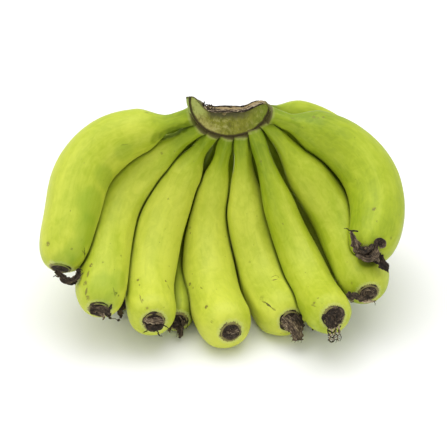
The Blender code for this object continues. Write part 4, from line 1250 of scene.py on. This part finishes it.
def f8(h):
    f = fingers["finger_front_8"]
    s = Spot(f, 368, 256)
    crust(h, f, 801, radius=8.6, high=1.6, pale=0.1)
    # long dried petal reaching up to the left, with its thin end
    strap(h, [s(362, 257, 6), s(356, 250, 8), s(352.5, 243, 9), s(350, 236, 9), s(349, 231, 8.5)], [8, 9, 6.5, 4, 2.2], 1.0, 811,
          TOWARD, cup=-0.35, fold=0.8, pale=0.2, count=44, across=15)
    thread(h, [s(356, 231.5, 8), s(351, 230.8, 9), s(347, 230, 9), s(344, 228.5, 9), s(341.5, 228, 9)], 0.8, 812)
    thread(h, [s(349.5, 232, 8.5), s(352, 235, 9), s(354.5, 240, 9), s(356, 246, 8)], 0.55, 813, pale=0.6)
    lump(h, s(364, 253.5, 6), 1.0 * np.array([[8.0, 0, 0], [0, 4.0, 1.0], [0, -1.0, 5.6]]), 814, 0.55, pale=0.12)
    lump(h, s(371.5, 249, 8), np.diag([4.6, 3.0, 4.4]), 815, 0.50, pale=0.10)
    lump(h, s(373, 258, 8), np.diag([3.8, 3.0, 3.8]), 816, 0.30, pale=0.30)
    strap(h, [s(356, 254, 8), s(363, 258.5, 11), s(370, 258, 11.5), s(374.5, 252, 11), s(374, 246, 10)], [5, 7, 7, 6, 4], 0.9, 817,
          TOWARD + 0.4 * UP, cup=-0.3, fold=0.9, pale=0.22)
    strap(h, [s(358, 248, 9), s(363, 251, 11.5), s(368, 249, 12), s(371, 244.5, 11)], [3, 5, 5, 3], 0.9, 821,
          TOWARD + UP, cup=-0.3, fold=0.9, pale=0.05)
    strap(h, [s(366, 262, 9), s(370, 258, 12), s(375, 259, 12), s(378, 263, 10)], [3, 4, 4, 3], 0.8, 822,
          TOWARD + UP, fold=0.6, pale=0.35)
    # curl like a small ring
    ring = [s(374.5, 248.5, 10)]
    for k in range(9):
        a = math.radians(215 - 40 * k)
        ring.append(s(379.0 + 4.3 * math.cos(a), 243.6 - 3.7 * math.sin(a), 11.2 + 0.12 * k))
    strap(h, ring, [3.4, 3.8, 3.8, 3.6, 3.0], 1.2, 818, UP, fold=0.3, pale=0.05, count=40, across=9)
    lump(h, s(379, 244, 10), np.diag([2.4, 1.8, 2.2]), 819, 0.4, pale=-0.1)
    # dark three-cornered flap
    strap(h, [s(375, 257, 6), s(380, 263, 6), s(385, 269, 5), s(388.5, 274.5, 4)], [11, 9, 6, 0.8], 0.9, 820,
          TOWARD + 0.3 * RIGHT, cup=0.3, fold=0.5, pale=-0.12, count=36, across=15)


BUILD = {"blossom_front_1": f1, "blossom_front_2": f2, "blossom_front_3": f3, "blossom_front_4": f4,
         "blossom_front_5": f5, "blossom_front_6": f6, "blossom_front_7": f7, "blossom_front_8": f8}


def plain_blossom(finger_name, seed):
    f = fingers[finger_name]

    def build(h):
        p, t, out, side = f.frame(np.array([f.length]))
        p, t, out, side = p[0], t[0], out[0], side[0]
        crust(h, f, seed, radius=8.8, high=1.7, pale=0.05, fold=0.9)
        down = unit(np.array([0.15 * math.sin(seed), -0.25, -1.0]))
        down = unit(down - 0.6 * min(down @ t, 0) * t)
        for k in range(3):
            a = seed + 2.1 * k
            d = math.cos(a) * out + math.sin(a) * side
            q = p + t * 1.2 + d * 3.5
            strap(h, [q, q + t * 3 + d * 2, q + t * 5 + d * 3 + down * 3, q + t * 5.5 + d * 3 + down * 6.5],
                  [5, 6, 4.5, 1.5], 0.9, seed + 11 * k, unit(d + t), cup=0.3, fold=0.7, pale=0.1)
        for k in range(3):
            a = seed + 1.3 + 2.3 * k
            d = math.cos(a) * out + math.sin(a) * side
            q = p + t * 1.0 + d * 5.0
            thread(h, [q, q + t * 3 + d * 2.5, q + t * 3.5 + d * 3.5 + down * 3, q + t * 2.5 + d * 3 + down * 6], 0.5, seed + 31 * k,
                   pale=0.2 * k)
        lump(h, p + t * 2.0, np.array([out * 3.6, side * 3.0, t * 2.0]), seed + 3, 0.5, pale=0.1)
    return build


for name in fingers:
    node = name.replace("finger", "blossom")
    blossom(node, BUILD.get(node) or plain_blossom(name, seed_of(name)))

# torn fibres lying on the front edge of the crown's cut
heap = Heap()
rng = np.random.default_rng(7)
for k in range(70):
    x0 = rng.uniform(-17.0, 26.0)
    run = rng.uniform(6.0, 20.0)
    x1 = min(x0 + run, 34.0)
    y0 = CROWN_FRONT + rng.uniform(0.2, 11.0)
    xs = np.linspace(x0, x1, 5)
    wob = rng.normal(0, 0.5, 5)
    hop = rng.uniform(0.2, 1.1)
    pts = [np.array([x, y0 + 0.6 * w, float(cut_height(x, y0)) + hop + 0.35 * w2]) for x, w, w2 in
           zip(xs, wob, rng.normal(0, 0.6, 5))]
    thread(heap, pts, rng.uniform(0.28, 0.62), 900 + k, count=24, pale=rng.uniform(0.35, 1.0), taper=0.6)
for k in range(9):
    # dark torn skin along the front and the rear edge of the cut
    rear = k > 4
    x0, x1 = (-15.5 + 2.2 * (k % 5), 33.0 - 2.6 * (k % 3)) if not rear else (-13.0 + 2.0 * (k % 4), 32.0 - 2.0 * (k % 3))
    y0 = (20.5 + 0.9 * (k - 5)) if rear else CROWN_FRONT + 0.2 + 0.35 * k
    xs = np.linspace(x0, x1, 11)
    hop = rng.normal(0.45, 0.28, 11)
    pts = [np.array([x, y0 + 0.5 * w, float(cut_height(x, y0)) + h]) for x, w, h in zip(xs, rng.normal(0, 0.5, 11), hop)]
    thread(heap, pts, rng.uniform(0.35, 0.55), 1100 + k, count=60, pale=rng.uniform(-0.15, 0.05), taper=0.4)
for k in range(26):
    # ragged tuft beside the pointed horn
    x0 = rng.uniform(-18.5, -8.0)
    y0 = CROWN_FRONT + rng.uniform(0.3, 6.0)
    base = np.array([x0, y0, float(cut_height(x0, y0)) - 0.2])
    tip = np.array([rng.uniform(-1.0, 4.5), rng.normal(0, 0.8), rng.uniform(1.2, 4.6)])
    thread(heap, [base, base + 0.5 * tip + [0, 0, 0.7], base + tip, base + tip * [1.5, 1.0, 0.7]],
           rng.uniform(0.45, 0.75), 1200 + k, count=20, pale=(0.5 if k % 4 == 0 else -0.1), taper=0.7)
fib = heap.make("crown_fibres")
finish_piece(fib, None, dried)

# ---- floor, light, camera -------------------------------------------------------
bpy.ops.mesh.primitive_circle_add(vertices=96, radius=14.0, fill_type="NGON", location=(0, 0, -0.0002))
floor = bpy.context.object
floor.name = "floor"
fm = Nodes("floor_white")
fm.shader.inputs["Base Color"].default_value = rgb(0.93, 0.93, 0.93)
fm.shader.inputs["Roughness"].default_value = 0.9
fm.shader.inputs["Specular IOR Level"].default_value = 0.1
floor.data.materials.append(fm.mat)

world = bpy.data.worlds.new("studio")
bpy.context.scene.world = world
world.use_nodes = True
world.node_tree.nodes["Background"].inputs[0].default_value = (1.0, 1.0, 1.0, 1.0)
world.node_tree.nodes["Background"].inputs[1].default_value = 0.84


def lamp(name, place, aim, size, power, colour=(1, 1, 1)):
    data = bpy.data.lights.new(name, "AREA")
    data.shape, data.size, data.size_y = "RECTANGLE", size[0], size[1]
    data.energy, data.color = power, colour
    ob = bpy.data.objects.new(name, data)
    ob.location = place
    ob.rotation_euler = (Vector(aim) - Vector(place)).to_track_quat("-Z", "Y").to_euler()
    bpy.context.scene.collection.objects.link(ob)
    return ob


lamp("top", (0.0, 0.25, 1.5), (0, 0.0, 0.05), (1.7, 1.3), 13.0)
lamp("side", (-1.0, 0.1, 1.4), (0, 0.0, 0.05), (1.6, 1.6), 4.2)
lamp("front", (-0.5, -1.6, 1.5), (0, -0.02, 0.08), (1.2, 0.9), 1.3, (1.0, 0.99, 0.97))

cam_data = bpy.data.cameras.new("camera")
cam = bpy.data.objects.new("camera", cam_data)
bpy.context.scene.collection.objects.link(cam)
cam_data.sensor_width = 36.0
cam_data.lens = 36.0 * FOCAL / FRAME_PX
cam_data.clip_start, cam_data.clip_end = 0.05, 60.0
cam.location = Vector((EYE + SHIFT) * MM)
cam.rotation_euler = Vector(VIEW).to_track_quat("-Z", "Y").to_euler()
bpy.context.scene.camera = cam
bpy.context.scene.view_settings.view_transform = "Standard"
